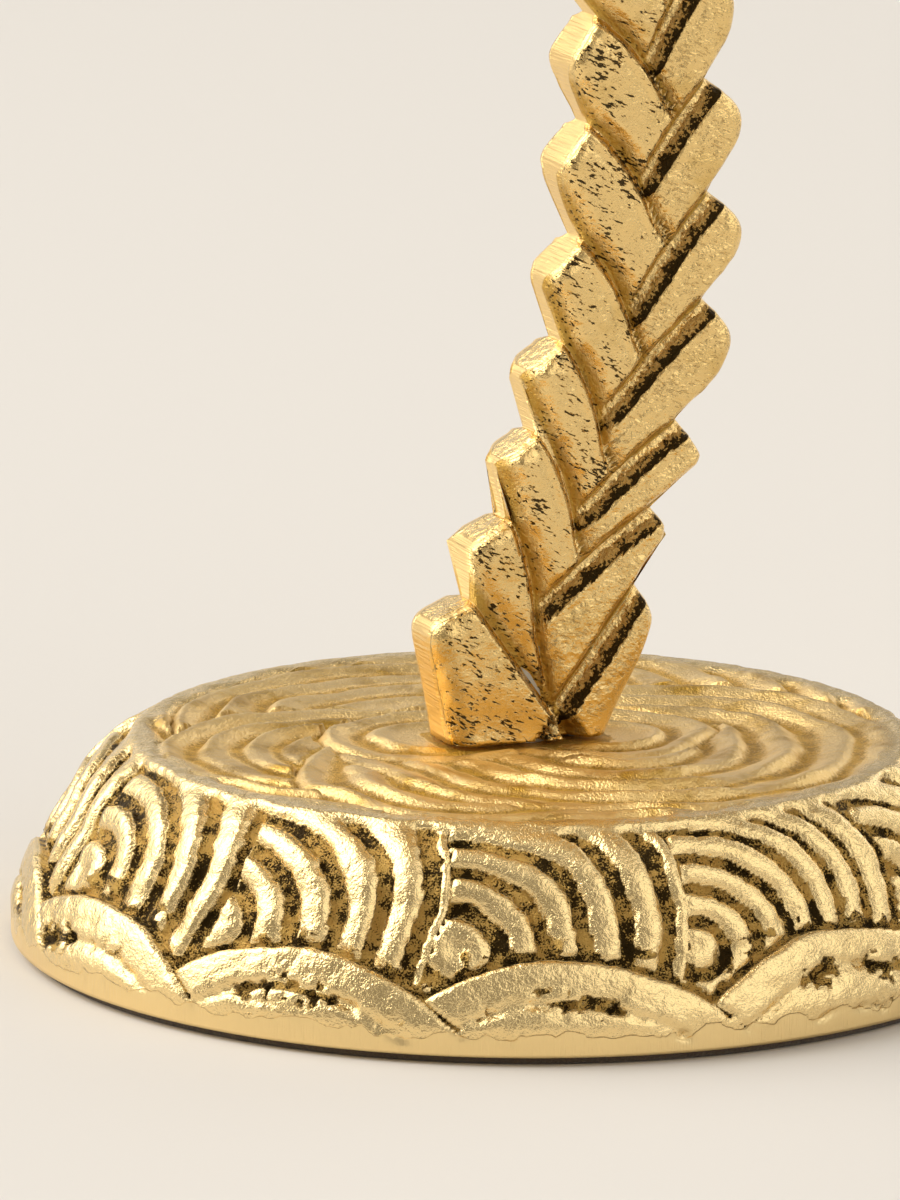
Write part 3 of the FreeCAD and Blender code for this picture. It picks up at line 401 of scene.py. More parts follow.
RIGHT_SCALES = {
    "name": "right", "way": 1, "angle": 35.0, "cap": (4.2, 2.4), "belly": 1.25, "notch_fill": 1.0, "bow": 0.3,
    "cove": 1.9, "dive": 1.5, "shares": (
        0.151, 0.208, 0.285, 0.351, 0.427, 0.500, 0.568, 0.633, 0.695, 0.754, 0.810, 0.863, 0.914, 0.965)}
CAP_ROUND = 2.2
BELLY_ROUND = 4.0
BOW_LENGTH = 12.0
FOOT_WIDTH, FOOT_HEIGHT = 26.0, 15.4
FOOT_POINT_SHARES = {
    "right toe": (0.350, 0), "right hip": (0.520, 0.62), "right tip": (0.546, 0.80),
    "right end": (0.440, 1.00), "valley": (0.085, 0.195), "left end": (-0.242, 0.98),
    "left tip": (-0.465, 0.85), "left toe": (-0.385, 0),
}
FOOT_HALF_THICKNESS, FOOT_TOP_HALF_THICKNESS = 5.3, 4.4
SCALE_LOW, SCALE_HIGH = 3.1, 4.5
EDGE_ROUND, FOOT_EDGE_ROUND = 1.45, 2.8
FOOT_UNDERCUT = 0.5
FOOT_VALLEY_WIDTH = 1.5
TOP_HALF_WIDTH = 4.0
TOP_BOSS_RADIUS, TOP_BOSS_HEIGHT = 10.0, 9.0
# Rows follow one scale's edge in their bow, which sets in above the foot; columns crowd towards the outer edges
BOWED_EDGE = 3
BOW_START, BOW_END = 8.0, 16.0
ROW_STEP, LEAST_ROW_STEP = 0.45, 0.05
HALF_COLUMNS, WALL_COLUMNS = 33, 6
COLUMN_CROWDING = 1.35
# The grain of the front and of the back is read this far out, so that the two faces differ
FACE_GRAIN_DEPTH = 20.0
# How far the grinding of the side walls wears the faces' own edges
EDGE_WEAR = 0.6


def value_at(table, share):
    """Value at a share of the way along a table of (share, value) rows, joined by smooth cubics."""
    last = len(table) - 1
    row = 0
    while row < last - 1 and share > table[row + 1][0]:
        row += 1

    def slope(i):
        low, high = table[max(i - 1, 0)], table[min(i + 1, last)]
        return (high[1] - low[1]) / (high[0] - low[0])

    start, end = table[row], table[row + 1]
    span, rise = end[0] - start[0], end[1] - start[1]
    t = min(max((share - start[0]) / span, 0), 1)
    a, b = slope(row) * span - rise, rise - slope(row + 1) * span
    return start[1] + t * rise + t * (1 - t) * ((1 - t) * a + t * b)


def trunk_frame(share, step=0.005):
    """Centre, upward tangent and rightward normal of the trunk's centre line, in the plate's (x, z)."""
    low, high = max(share - step, 0), min(share + step, 1)
    sway, before, after = [value_at(SWAY_SHARES, at) for at in (share, low, high)]
    centre = np.array([TRUNK_SWAY * sway, BASE_TOP + share * TRUNK_HEIGHT])
    tangent = np.array([TRUNK_SWAY * (after - before), (high - low) * TRUNK_HEIGHT])
    tangent /= np.hypot(*tangent)
    return centre, tangent, np.array([tangent[1], -tangent[0]])


class ScaleEdge:
    """Upper edge of a scale in the plate's (x, z): its tip, its outer end and the line down and in from there."""

    def __init__(self, tip, end, inward, bow):
        self.tip, self.end, self.bow = tip, end, bow
        self.inward = inward / np.hypot(*inward)
        across = np.array([self.inward[1], -self.inward[0]])
        self.down = across if across[1] < 0 else -across

    def above(self, spots):
        """How far each spot lies above the edge's line, which bows upwards on its way in."""
        share = np.clip(((spots - self.end) @ self.inward) / BOW_LENGTH, 0.0, 1.0)
        return -((spots - self.end) @ self.down) - self.bow * 4 * share * (1 - share)


def foot_spot(name):
    """Named point of the foot block's outline in the plate's (x, z)."""
    reach, height = FOOT_POINT_SHARES[name]
    return np.array([FOOT_WIDTH * reach, BASE_TOP + FOOT_HEIGHT * height])


def rounded(bends, radii, steps=7):
    """An open line of straight runs with each inner corner rounded."""
    line = [bends[0]]
    for before, corner, after, radius in zip(bends, bends[1:], bends[2:], radii):
        into, out = before - corner, after - corner
        reach = min(radius, np.hypot(*into) * 0.48, np.hypot(*out) * 0.48)
        start = corner + into / np.hypot(*into) * reach
        end = corner + out / np.hypot(*out) * reach
        line += [start * (1 - t) ** 2 + corner * 2 * t * (1 - t) + end * t * t for t in np.arange(steps + 1) / steps]
    return np.array(line + [bends[-1]])


class Side:
    """One side of the trunk: its scale edges and, between them, the outline's outer points."""

    def __init__(self, name, way, shares, angle, cap, belly, notch_fill, bow, cove, dive):
        self.bow, self.cove, self.dive = bow, cove, dive
        slant, end = math.radians(angle), foot_spot(f"{name} end")
        self.edges = [ScaleEdge(foot_spot(f"{name} tip"), end, foot_spot("valley") - end, 0.0)]
        for share in shares:
            centre, tangent, normal = trunk_frame(share)
            out = normal * way
            width = TRUNK_WIDTH / 2 * value_at(WIDTH_SHARES, share)
            self.edges.append(ScaleEdge(
                centre + out * width, centre + out * (width - cap[0]) + tangent * cap[1],
                -out * math.sin(slant) - tangent * math.cos(slant), bow))
        notches = [edge.end - edge.inward * notch_fill for edge in self.edges]
        foot = [foot_spot(f"{name} {part}") for part in (("toe", "hip", "tip") if way > 0 else ("toe", "tip"))]
        self.outlines = [rounded(foot + notches[:1], (CAP_ROUND, CAP_ROUND))]
        for low, edge, high in zip(notches, self.edges[1:], notches[1:]):
            climb = edge.tip - low
            out = np.array([climb[1], -climb[0]]) / np.hypot(*climb) * way * belly
            bends = [low, low + climb * 0.5 + out, edge.tip + out * 0.5, high]
            self.outlines.append(rounded(bends, (BELLY_ROUND, CAP_ROUND)))
        self.outlines.append(np.array([notches[-1], [way * TOP_HALF_WIDTH, TRUNK_HIGH[2]]]))

    def between(self, index, spots):
        """Share of the way from the line below this interval to the line above it."""
        below = spots[..., 1] - BASE_TOP if index == 0 else self.edges[index - 1].above(spots)
        above = TRUNK_HIGH[2] - spots[..., 1] if index == len(self.edges) else -self.edges[index].above(spots)
        return below / (below + above)

    def interval(self, spots):
        """Number of this side's edge lines that lie below each spot."""
        return sum((edge.above(spots) > 0).astype(int) for edge in self.edges)

    def outer(self, spot):
        """The outline's point at the same share between two edge lines as a spot on the spine."""
        index = int(self.interval(spot))
        outline = self.outlines[index]
        shares = np.maximum.accumulate(self.between(index, outline))
        share = self.between(index, spot)
        return np.array([np.interp(share, shares, outline[:, 0]), np.interp(share, shares, outline[:, 1])])


def spine_spot(z):
    """Where the two sides' rows meet: on the centre line, and over the foot's valley at the bottom."""
    centre, _, _ = trunk_frame((z - BASE_TOP) / TRUNK_HEIGHT)
    valley = foot_spot("valley")
    blend = smooth(valley[1], valley[1] + 14.0, z)
    return np.array([valley[0] * (1 - blend) + centre[0] * blend, z])


def line_crossing(edge):
    """Height at which the spine meets an edge's line."""
    low, high = BASE_TOP, TRUNK_HIGH[2]
    for _ in range(50):
        middle = (low + high) / 2
        low, high = (low, middle) if edge.above(spine_spot(middle)) > 0 else (middle, high)
    return (low + high) / 2


def spine_heights(sides):
    """Heights of the rows on the spine: close together at each scale's edge, wider on its face."""
    marks = np.linspace(BASE_TOP, foot_spot("valley")[1], 40).tolist() + [TRUNK_HIGH[2]]
    for side in sides:
        cove = side.cove
        for edge in side.edges:
            crossing, slant = line_crossing(edge), abs(edge.down[1])
            offsets = [-1.1, -0.6, -0.25, 0.0, 0.3 * cove, 0.6 * cove, 0.85 * cove, cove, cove + 0.12, cove + 0.5]
            marks += [crossing - offset / slant for offset in offsets]
    marks = sorted(mark for mark in marks if BASE_TOP <= mark <= TRUNK_HIGH[2])
    rows = [marks[0]]
    for mark in marks[1:]:
        gap = mark - rows[-1]
        if gap >= LEAST_ROW_STEP:
            extra = int(gap / ROW_STEP)
            for _ in range(extra):
                rows.append(rows[-1] + gap / (extra + 1))
            rows.append(mark)
    return rows


def trunk_relief(spots, left, right, points):
    """Half thickness, cove strip, low places and side (1 on the right) of the carved plate at each (x, z); the
    material paints shade in the cove strips and the low places.
    """
    i, j = left.interval(spots), right.interval(spots)
    above_left, above_right = [np.stack([edge.above(spots) for edge in side.edges], -1) for side in (left, right)]
    is_left, in_left_foot = j >= i, i == 0
    foot = in_left_foot | (j == 0)

    def pick(table, index):
        """Each spot's distance above the edge line with this number."""
        return np.take_along_axis(table, np.clip(index, 0, table.shape[-1] - 1)[..., None], -1)[..., 0]

    top_scale = np.where(is_left, i >= len(left.edges), j >= len(right.edges))
    below_own = np.where(top_scale, 9.0, -np.where(is_left, pick(above_left, i), pick(above_right, j)))
    above_next = np.where(is_left, pick(above_left, i - 1), pick(above_right, j - 1))
    above_other = np.where(is_left, pick(above_right, i - 1), pick(above_left, j))
    cove_width = np.where(is_left, left.cove, right.cove)
    dive_width = np.where(is_left, left.dive, right.dive)
    ragged = 0.16 * fine(points, 0.8) + 0.12 * broad(points, 2.2)

    climb = np.clip((below_own + ragged * 0.5) / cove_width, 0.0, 1.0)
    cove = climb ** 1.7
    rise = SCALE_HIGH - SCALE_LOW
    fall = smooth(0.0, 1.0, 1.0 - (above_next + ragged) / dive_width)
    end_fall = smooth(0.0, 1.0, 1.0 - (above_other + ragged) / 1.3)
    sink = np.maximum(fall, end_fall)
    groove = np.maximum(bell(above_next, 0.32), bell(above_other, 0.32))
    face = SCALE_LOW + rise * cove * (1.0 - 0.95 * sink) - 0.22 * groove
    # A thin bead runs along each scale's upper edge, and the face swells towards its middle
    bead = bell(below_own - cove_width - 0.25, 0.28) - bell(below_own - cove_width - 0.95, 0.35)
    swell = np.where(is_left, 0.12, 0.05) * bead + 0.28 * smooth(0.0, 3.2, below_own - cove_width)
    face += swell * (1 - sink) - 0.2 + 0.09 * broad(points, 3.2) + 0.035 * fine(points, 0.7)
    face += 0.22 * fine(points, 0.5) * climb * (climb < 0.97)

    foot_share = np.clip((spots[..., 1] - BASE_TOP) / FOOT_HEIGHT, 0.0, 1.0)
    foot_face = FOOT_HALF_THICKNESS + (FOOT_TOP_HALF_THICKNESS - FOOT_HALF_THICKNESS) * foot_share
    left_below, right_below = -above_left[..., 0], -above_right[..., 0]
    foot_below = np.where(in_left_foot, left_below, right_below)
    foot_below = np.where(in_left_foot & (j == 0), np.minimum(left_below, right_below), foot_below)
    foot_cove_width = np.where(in_left_foot, left.cove, right.cove)
    foot_climb = np.clip((foot_below + ragged * 0.5) / foot_cove_width, 0.0, 1.0)
    foot_face = SCALE_LOW + (foot_face - SCALE_LOW) * foot_climb ** 1.7
    # The foot's right half falls into the valley beside the left half's edge
    into_valley = np.where(in_left_foot, 0.0, 1.0 - smooth(0.0, FOOT_VALLEY_WIDTH, ragged - left_below))
    foot_face += (SCALE_LOW - foot_face) * into_valley
    foot_face += 0.16 * broad(points, 3.5) + 0.05 * fine(points, 0.8)

    climb = np.where(foot, foot_climb, climb)
    on_right = np.where(foot, ~in_left_foot, ~is_left)
    strip = climb * (climb < 0.995) * np.where(on_right, 1.0, 0.6)
    low = np.where(foot, into_valley, np.maximum(sink * 0.8, groove))
    return np.where(foot, foot_face, face), strip, low, on_right.astype(float)


def line_distance(spots, outline):
    """Distance of each spot from an open line."""
    best = np.full(spots.shape[:-1], np.inf)
    for start, run in zip(outline, np.diff(outline, axis=0)):
        share = np.clip(((spots - start) @ run) / max(run @ run, 1e-9), 0.0, 1.0)
        gap = spots - start - share[..., None] * run
        best = np.minimum(best, np.hypot(gap[..., 0], gap[..., 1]))
    return best


def wall_points(start, end):
    """Points of a side wall, between the front's edge and the back's."""
    shares = (np.arange(1, WALL_COLUMNS + 1) / (WALL_COLUMNS + 1))[None, :, None]
    wall = start[:, None, :] * (1 - shares) + end[:, None, :] * shares
    wall[..., 0] += 0.05 * fine(wall, 0.9)
    return wall


def wall_ground(outline):
    """1 where a side wall stands upright and was ground, less over the scales' caps."""
    run = np.abs(np.gradient(outline, axis=0))
    upright = run[:, 1] / np.maximum(np.hypot(*run.T), 1e-9)
    return np.repeat((0.2 + 0.8 * smooth(0.45, 0.85, upright))[:, None], WALL_COLUMNS, 1)


def trunk_body():
    """The trunk as one closed plate: rows follow its chevrons, each a loop round front, right, back and left."""
    left, right = Side(**LEFT_SCALES), Side(**RIGHT_SCALES)
    spine = np.array([spine_spot(z) for z in spine_heights((left, right))])
    outwards = (1.0 - (1.0 - np.linspace(0.0, 1.0, HALF_COLUMNS)) ** COLUMN_CROWDING)[None, :, None]
    # Under the foot the block draws in a little, and above it the rows bow with the scales' edges
    undercut = FOOT_UNDERCUT * bell(spine[:, 1] - BASE_TOP, 1.0)
    above_foot = smooth(BASE_TOP + BOW_START, BASE_TOP + BOW_END, spine[:, 1])[:, None, None]
    bow_share = 4 * outwards * (1 - outwards) * above_foot
    edges, halves = [], []
    for side, way in ((left, 1), (right, -1)):
        edge = np.array([side.outer(spot) for spot in spine])
        edge[:, 0] += way * undercut
        half = spine[:, None, :] * (1 - outwards) + edge[:, None, :] * outwards
        edges.append(edge)
        halves.append(half - side.edges[BOWED_EDGE].down * side.bow * bow_share)
    across = np.concatenate([halves[0][:, :0:-1], halves[1]], 1)
    rows, count = across.shape[:2]
    own_edges = zip(np.split(across, [HALF_COLUMNS - 1], 1), edges)
    nearest = np.concatenate([line_distance(spots, edge) for spots, edge in own_edges], 1)
    on_scales = smooth(BASE_TOP + FOOT_HEIGHT * 0.6, BASE_TOP + FOOT_HEIGHT * 1.05, across[..., 1])
    edge_round = FOOT_EDGE_ROUND + (EDGE_ROUND - FOOT_EDGE_ROUND) * on_scales
    rounding = np.clip(edge_round - nearest, 0.0, edge_round)
    drop = edge_round - np.sqrt(edge_round ** 2 - rounding ** 2) + undercut[:, None]

    faces_of = []
    for way in (-1, 1):
        points = np.stack([across[..., 0], np.full(nearest.shape, way * FACE_GRAIN_DEPTH), across[..., 1]], -1)
        thickness, strip, low, on_right = trunk_relief(across, left, right, points)
        points[..., 1] = way * (thickness - drop)
        worn = EDGE_WEAR - EDGE_WEAR * smooth(0.1, 0.6, nearest)
        faces_of.append((points, strip, low, on_right, worn))
    front, back = faces_of

    def around(k, right_wall, left_wall):
        """Each row's loop: front from left to right, the right wall, back from right to left, the left wall."""
        return np.concatenate([front[k], right_wall, back[k][:, ::-1], left_wall], 1)

    loop = around(0, wall_points(front[0][:, -1], back[0][:, -1]), wall_points(back[0][:, 0], front[0][:, 0]))
    zero, one = np.zeros((rows, WALL_COLUMNS)), np.ones((rows, WALL_COLUMNS))
    # The strip and low attributes tell the material where to paint shade
    attributes = {
        "strip": around(1, zero, zero), "low": around(2, zero, zero), "right": around(3, one, one),
        "ground": around(4, wall_ground(edges[1]), wall_ground(edges[0]))}
    points = loop.reshape(-1, 3)
    loops = np.arange(len(points)).reshape(rows, -1).tolist()
    faces = []
    for lower, upper in zip(loops, loops[1:]):
        faces += band_faces(lower, upper)
    # Strips from the front to the back close the two ends, and the walls fold onto them
    back_start = count + WALL_COLUMNS
    for ring, underneath in ((loops[0], True), (loops[-1], False)):
        ahead, behind = ring[:count], ring[back_start:back_start + count][::-1]
        folds = ring[count - 1:back_start + 1], ring[back_start + count - 1:] + ring[:1]
        caps = list(zip(ahead, ahead[1:], behind[1:], behind)) + [tuple(fold) for fold in folds]
        faces += turned_over(caps) if underneath else caps
    # The round boss that carries the crown
    top, under = TRUNK_HIGH[2], TRUNK_HIGH[2] - TOP_BOSS_HEIGHT
    middle = under + TOP_BOSS_HEIGHT / 2
    boss_points, boss_faces = turned_skin([
        (0.0, under), (TOP_BOSS_RADIUS - TOP_BOSS_HEIGHT / 2, under), (TOP_BOSS_RADIUS - 0.5, middle - 0.5),
        (TOP_BOSS_RADIUS, middle + 0.4), (TOP_BOSS_RADIUS, top - 0.3), (TOP_BOSS_RADIUS - 0.3, top), (0.0, top)])
    faces += [tuple(k + len(points) for k in face) for face in boss_faces]
    attributes = {key: np.r_[values.ravel(), np.zeros(len(boss_points))] for key, values in attributes.items()}
    return make_mesh("scaled_trunk", np.vstack([points, boss_points]), faces, attributes)


# Crown: eight fronds of two lengths round a hub, and a candle cup with its lift-out ring
FROND_COUNT = 8
LONG_FROND = {"reach": 64.0, "crest": 12.0, "drop": 17.0}
SHORT_FROND = {"reach": 52.0, "crest": 17.0, "drop": 3.0}
CREST_SHARE = 0.42
TANG_WIDTH, TANG_HEIGHT, TANG_START = 3.0, 3.2, 8.5
FROND_STALK = 4.0
FROND_WIDTH_SHARES = (
    (0.00, 0.40), (0.15, 0.74), (0.35, 0.98), (0.50, 1.00), (0.70, 0.84), (0.88, 0.52), (1.00, 0.30))
MIDRIB_TAPER = ((0.0, 1.0), (0.6, 0.72), (1.0, 0.3))
LEAFLET_SWEEP = math.radians(42.0)
LEAFLET_STATIONS = 9
FROND_SIZES = {
    "Leaflets": 10, "Half Width": 9.6 * MM, "Breadth": 6.6 * MM, "Thickness": 1.25 * MM, "Rib": 1.35 * MM}
CUP_FLOOR, CUP_WALL, CUP_BEAD = 4.0, 1.8, 1.2
CUP_FOOT_RADIUS = 10.0
CUP_WAIST_RADIUS, CUP_WAIST_HEIGHT = 8.5, 3.0
CUP_HOLE_RADIUS = 2.8
WASHER_ROOM_RADIUS = 5.8
CANDLE_BORE_RADIUS = 11.5
RING_WALL, RING_FLOOR = 1.1, 1.2
DRIP_THICKNESS, DRIP_RISE = 1.4, 2.6
LIFT_OUT_CLEARANCE = 0.3


class Wire:
    """A node's output that can be used in Python sums."""

    def __init__(self, maker, socket):
        self.maker, self.socket = maker, socket

    def _math(self, operation, a, b):
        return self.maker.node("ShaderNodeMath", {"operation": operation}, {0: a, 1: b})

    def __add__(self, other):
        return self._math("ADD", self, other)

    def __sub__(self, other):
        return self._math("SUBTRACT", self, other)

    def __rsub__(self, other):
        return self._math("SUBTRACT", other, self)

    def __mul__(self, other):
        return self._math("MULTIPLY", self, other)

    def __truediv__(self, other):
        return self._math("DIVIDE", self, other)

    __radd__ = __add__
    __rmul__ = __mul__

    def top(self, other):
        """The larger of the two."""
        return self._math("MAXIMUM", self, other)

    def clamped(self):
        return self.maker.node("ShaderNodeClamp", {}, {0: self})


class Nodes:
    """Makes the nodes of one tree."""

    def __init__(self, tree):
        self.tree = tree

    def node(self, kind, settings, values, output=0):
        """A node of this kind: settings first, then the values or links of its sockets."""
        made = self.tree.nodes.new(kind)
        for key, value in settings.items():
            if key == "rows":
                curve = made.mapping.curves[0]
                while len(curve.points) < len(value):
                    curve.points.new(0.5, 0.5)
                for point, row in zip(curve.points, value):
                    point.location = row
                made.mapping.update()
            else:
                setattr(made, key, value)
        for key, value in values.items():
            for one in value if isinstance(value, list) else [value]:
                if isinstance(one, Wire):
                    self.tree.links.new(one.socket, made.inputs[key])
                else:
                    made.inputs[key].default_value = one
        return Wire(self, made.outputs[output]) if made.outputs else None


class FrondTree(Nodes):
    """Grows a frond: leaflets on both sides of an arched midrib, wide in the middle and narrow at both ends."""
    INPUTS = {
        "Root": "Vector", "Crest": "Vector", "Tip": "Vector", "Leaflets": "Int", "Half Width": "Float",
        "Breadth": "Float", "Thickness": "Float", "Rib": "Float", "Stalk": "Float"}

    def __init__(self, material, blade):
        super().__init__(bpy.data.node_groups.new("frond", "GeometryNodeTree"))
        outside = self.tree.interface
        self.keys = {
            name: outside.new_socket(name=name, in_out="INPUT", socket_type=f"NodeSocket{kind}").identifier
            for name, kind in self.INPUTS.items()}
        outside.new_socket(name="Geometry", in_out="OUTPUT", socket_type="NodeSocketGeometry")
        entry = self.tree.nodes.new("NodeGroupInput")
        given = {name: Wire(self, entry.outputs[name]) for name in self.INPUTS}

        line = self.node("GeometryNodeCurveArc", {"mode": "POINTS"}, {
            "Resolution": 48, "Start": given["Root"], "Middle": given["Crest"], "End": given["Tip"]})
        along = self.node("GeometryNodeSplineParameter", {}, {})
        size = self.node("ShaderNodeFloatCurve", {"rows": MIDRIB_TAPER}, {"Value": along}) * given["Rib"]
        round_rib = self.node("GeometryNodeCurvePrimitiveCircle", {}, {"Resolution": 12, "Radius": 1.0})
        rib = self.node("GeometryNodeCurveToMesh", {}, {
            "Curve": line, "Profile Curve": round_rib, "Fill Caps": True, "Scale": size})

        trimmed = self.node("GeometryNodeTrimCurve", {}, {"Curve": line, "Start": given["Stalk"], "End": 0.97})
        spots = self.node("GeometryNodeCurveToPoints", {}, {"Curve": trimmed, "Count": given["Leaflets"]})
        tangent = Wire(self, spots.socket.node.outputs["Tangent"])
        share = self.node("GeometryNodeInputIndex", {}, {}) / (given["Leaflets"] - 1.0)
        wide = self.node("ShaderNodeFloatCurve", {"rows": FROND_WIDTH_SHARES}, {"Value": share})
        length = wide * given["Half Width"] / math.cos(LEAFLET_SWEEP)
        scale = self.node("ShaderNodeCombineXYZ", {}, {
            "X": length, "Y": given["Breadth"], "Z": given["Thickness"]})
        leaf = self.node("GeometryNodeObjectInfo", {}, {"Object": blade}, "Geometry")
        forward = self.node("ShaderNodeVectorMath", {"operation": "SCALE"}, {
            0: tangent, "Scale": math.sin(LEAFLET_SWEEP)})
        up = self.node("ShaderNodeVectorMath", {"operation": "CROSS_PRODUCT"}, {0: tangent, 1: (0.0, 1.0, 0.0)})
        parts = [rib]
        for side in (-1.0, 1.0):
            way = self.node("ShaderNodeVectorMath", {"operation": "ADD"}, {
                0: forward, 1: (0.0, side * math.cos(LEAFLET_SWEEP), 0.0)})
            turn = self.node("FunctionNodeAxesToRotation", {"primary_axis": "X", "secondary_axis": "Z"}, {
                0: way, 1: up})
            parts.append(self.node("GeometryNodeInstanceOnPoints", {}, {
                "Points": spots, "Instance": leaf, "Rotation": turn, "Scale": scale}))
        joined = self.node("GeometryNodeJoinGeometry", {}, {0: parts})
        solid = self.node("GeometryNodeRealizeInstances", {}, {0: joined})
        dressed = self.node("GeometryNodeSetMaterial", {}, {"Geometry": solid, "Material": material})
        self.node("NodeGroupOutput", {}, {0: dressed})

    def grow(self, reach, crest, drop):
        """Points and faces of one frond along +X, read back from the tree, with its tang for the hub."""
        root = np.array([HUB_HIGH[0], 0.0, HUB_HIGH[2] - TANG_HEIGHT / 2])
        span = reach - root[0]
        sizes = FROND_SIZES | {
            "Root": (root * MM).tolist(), "Crest": ((root + (span * CREST_SHARE, 0, crest)) * MM).tolist(),
            "Tip": ((root + (span, 0, -drop)) * MM).tolist(), "Stalk": FROND_STALK / span}
        holder = add_object("frond_grower", bpy.data.meshes.new("frond_grower"))
        growth = holder.modifiers.new("growth", "NODES")
        growth.node_group = self.tree
        for name, value in sizes.items():
            growth[self.keys[name]] = value
        grown = holder.evaluated_get(bpy.context.evaluated_depsgraph_get())
        mesh = bpy.data.meshes.new_from_object(grown)
        points = [tuple(np.array(v.co) / MM) for v in mesh.vertices]
        faces = [tuple(p.vertices) for p in mesh.polygons]
        holder.modifiers.clear()
        bpy.data.objects.remove(holder)
        half, top, first = TANG_WIDTH / 2, HUB_HIGH[2] - 0.02, len(points)
        for x in (TANG_START, HUB_HIGH[0] + 1.2):
            points += [(x, -half, top - TANG_HEIGHT), (x, half, top - TANG_HEIGHT), (x, half, top), (x, -half, top)]
        box = ((0, 3, 2, 1), (4, 5, 6, 7), (0, 1, 5, 4), (1, 2, 6, 5), (2, 3, 7, 6), (3, 0, 4, 7))
        faces += [tuple(first + n for n in face) for face in box]
        return np.array(points), faces


def leaflet():
    """One leaflet, a unit long and broad: a pointed blade, thin at its edges, with a fold along its middle."""
    points, loops = [], []
    for along in np.arange(LEAFLET_STATIONS) / LEAFLET_STATIONS:
        half = 0.5 * math.sin(math.pi * (0.22 + 0.78 * along) ** 0.9) ** 0.8
        loops.append(list(range(len(points), len(points) + 6)))
        for side, lift in ((-1, -0.25), (-0.55, 0.2), (0, 0.55), (0.55, 0.2), (1, -0.25), (0, -0.45)):
            points.append((along, side * half, lift * (1 - 0.5 * along) - 0.64 * along ** 2))
    faces = fan(loops[-1], len(points)) + [tuple(loops[0][::-1])]
    points.append((1.0, 0.0, -0.74))
    for lower, upper in zip(loops, loops[1:]):
        faces += band_faces(lower, upper)
    mesh = bpy.data.meshes.new("leaflet")
    mesh.from_pydata(points, [], turned_over(faces))
    return add_object("leaflet", mesh)


def grow_fronds(material):
    """All the fronds, long and short by turns, each its own piece in its own place."""
    blade = leaflet()
    tree = FrondTree(material, blade)
    shapes = tree.grow(**LONG_FROND), tree.grow(**SHORT_FROND)
    bpy.data.objects.remove(blade)
    for k in range(FROND_COUNT):
        points, faces = shapes[k % 2]
        angle = FULL_TURN * (k + 0.5) / FROND_COUNT
        turn = np.array([[math.cos(angle), math.sin(angle), 0], [-math.sin(angle), math.cos(angle), 0], [0, 0, 1]])
        piece = make_mesh(f"palm_frond_{k + 1}", points @ turn, faces)
        place_piece(piece, "stand", material, "cast_gold", f"frond_{k + 1}")


def turned(name, *rows, columns=128, joined=False):
    """Piece turned about Z from rows of (radius, z, rounding)."""
    line = rounded([np.array(row[:2], float) for row in rows], [row[2] for row in rows[1:-1]], 5)
    return make_mesh(name, *turned_skin(line, columns, joined))


def turned_cup():
    """Candle cup: a beaded foot, a waist, a round belly and a lip, with the well for the ring."""
    low, top = CUP_LOW[2], CUP_HIGH[2]
    lip = CUP_HIGH[0]
    outside = lip - CUP_BEAD
    bore = outside - CUP_WALL
    well, floor = RING_LOW[2] - LIFT_OUT_CLEARANCE, low + CUP_FLOOR
    return turned(
        "turned_cup", (CUP_HOLE_RADIUS, low, 0), (CUP_FOOT_RADIUS, low, 0.25),
        (CUP_FOOT_RADIUS, low + CUP_BEAD, 0.5), (CUP_WAIST_RADIUS, low + CUP_WAIST_HEIGHT, 1.2),
        (outside, floor + CUP_WAIST_HEIGHT, 3.0), (outside, top - 2 * CUP_BEAD, 0.4), (lip, top - CUP_BEAD, 0.4),
        (lip, top, 0.35), (bore, top, 0.3), (bore, well, 0.3), (WASHER_ROOM_RADIUS, well, 0.2),
        (WASHER_ROOM_RADIUS, floor, 0.2), (CUP_HOLE_RADIUS, floor, 0), joined=True)


def lift_out_ring():
    """Candle ring: a thin socket with a floor, under a dished drip rim."""
    floor, seat = RING_LOW[2], CUP_HIGH[2]
    tray, rim, flat = seat + DRIP_THICKNESS, RING_HIGH[0], CUP_HIGH[0]
    outside = CANDLE_BORE_RADIUS + RING_WALL
    return turned(
        "lift_out_ring", (0, floor, 0), (outside, floor, 0.5), (outside, seat, 0.15), (flat, seat, 0.5),
        (rim, seat + DRIP_RISE, 0.6), (rim, tray + DRIP_RISE, 0.6), (flat, tray, 2.0),
        (CANDLE_BORE_RADIUS, tray, 0.5), (CANDLE_BORE_RADIUS, floor + RING_FLOOR, 0.4), (0, floor + RING_FLOOR, 0))


def felt_disc():
    """Felt pad under the base, with a soft edge."""
    radius, top = FELT_HIGH[0], FELT_HIGH[2]
    return turned("soft_felt", (0, 0, 0), (radius, 0, 0.35), (radius, top, 0.45), (0, top, 0), columns=240)


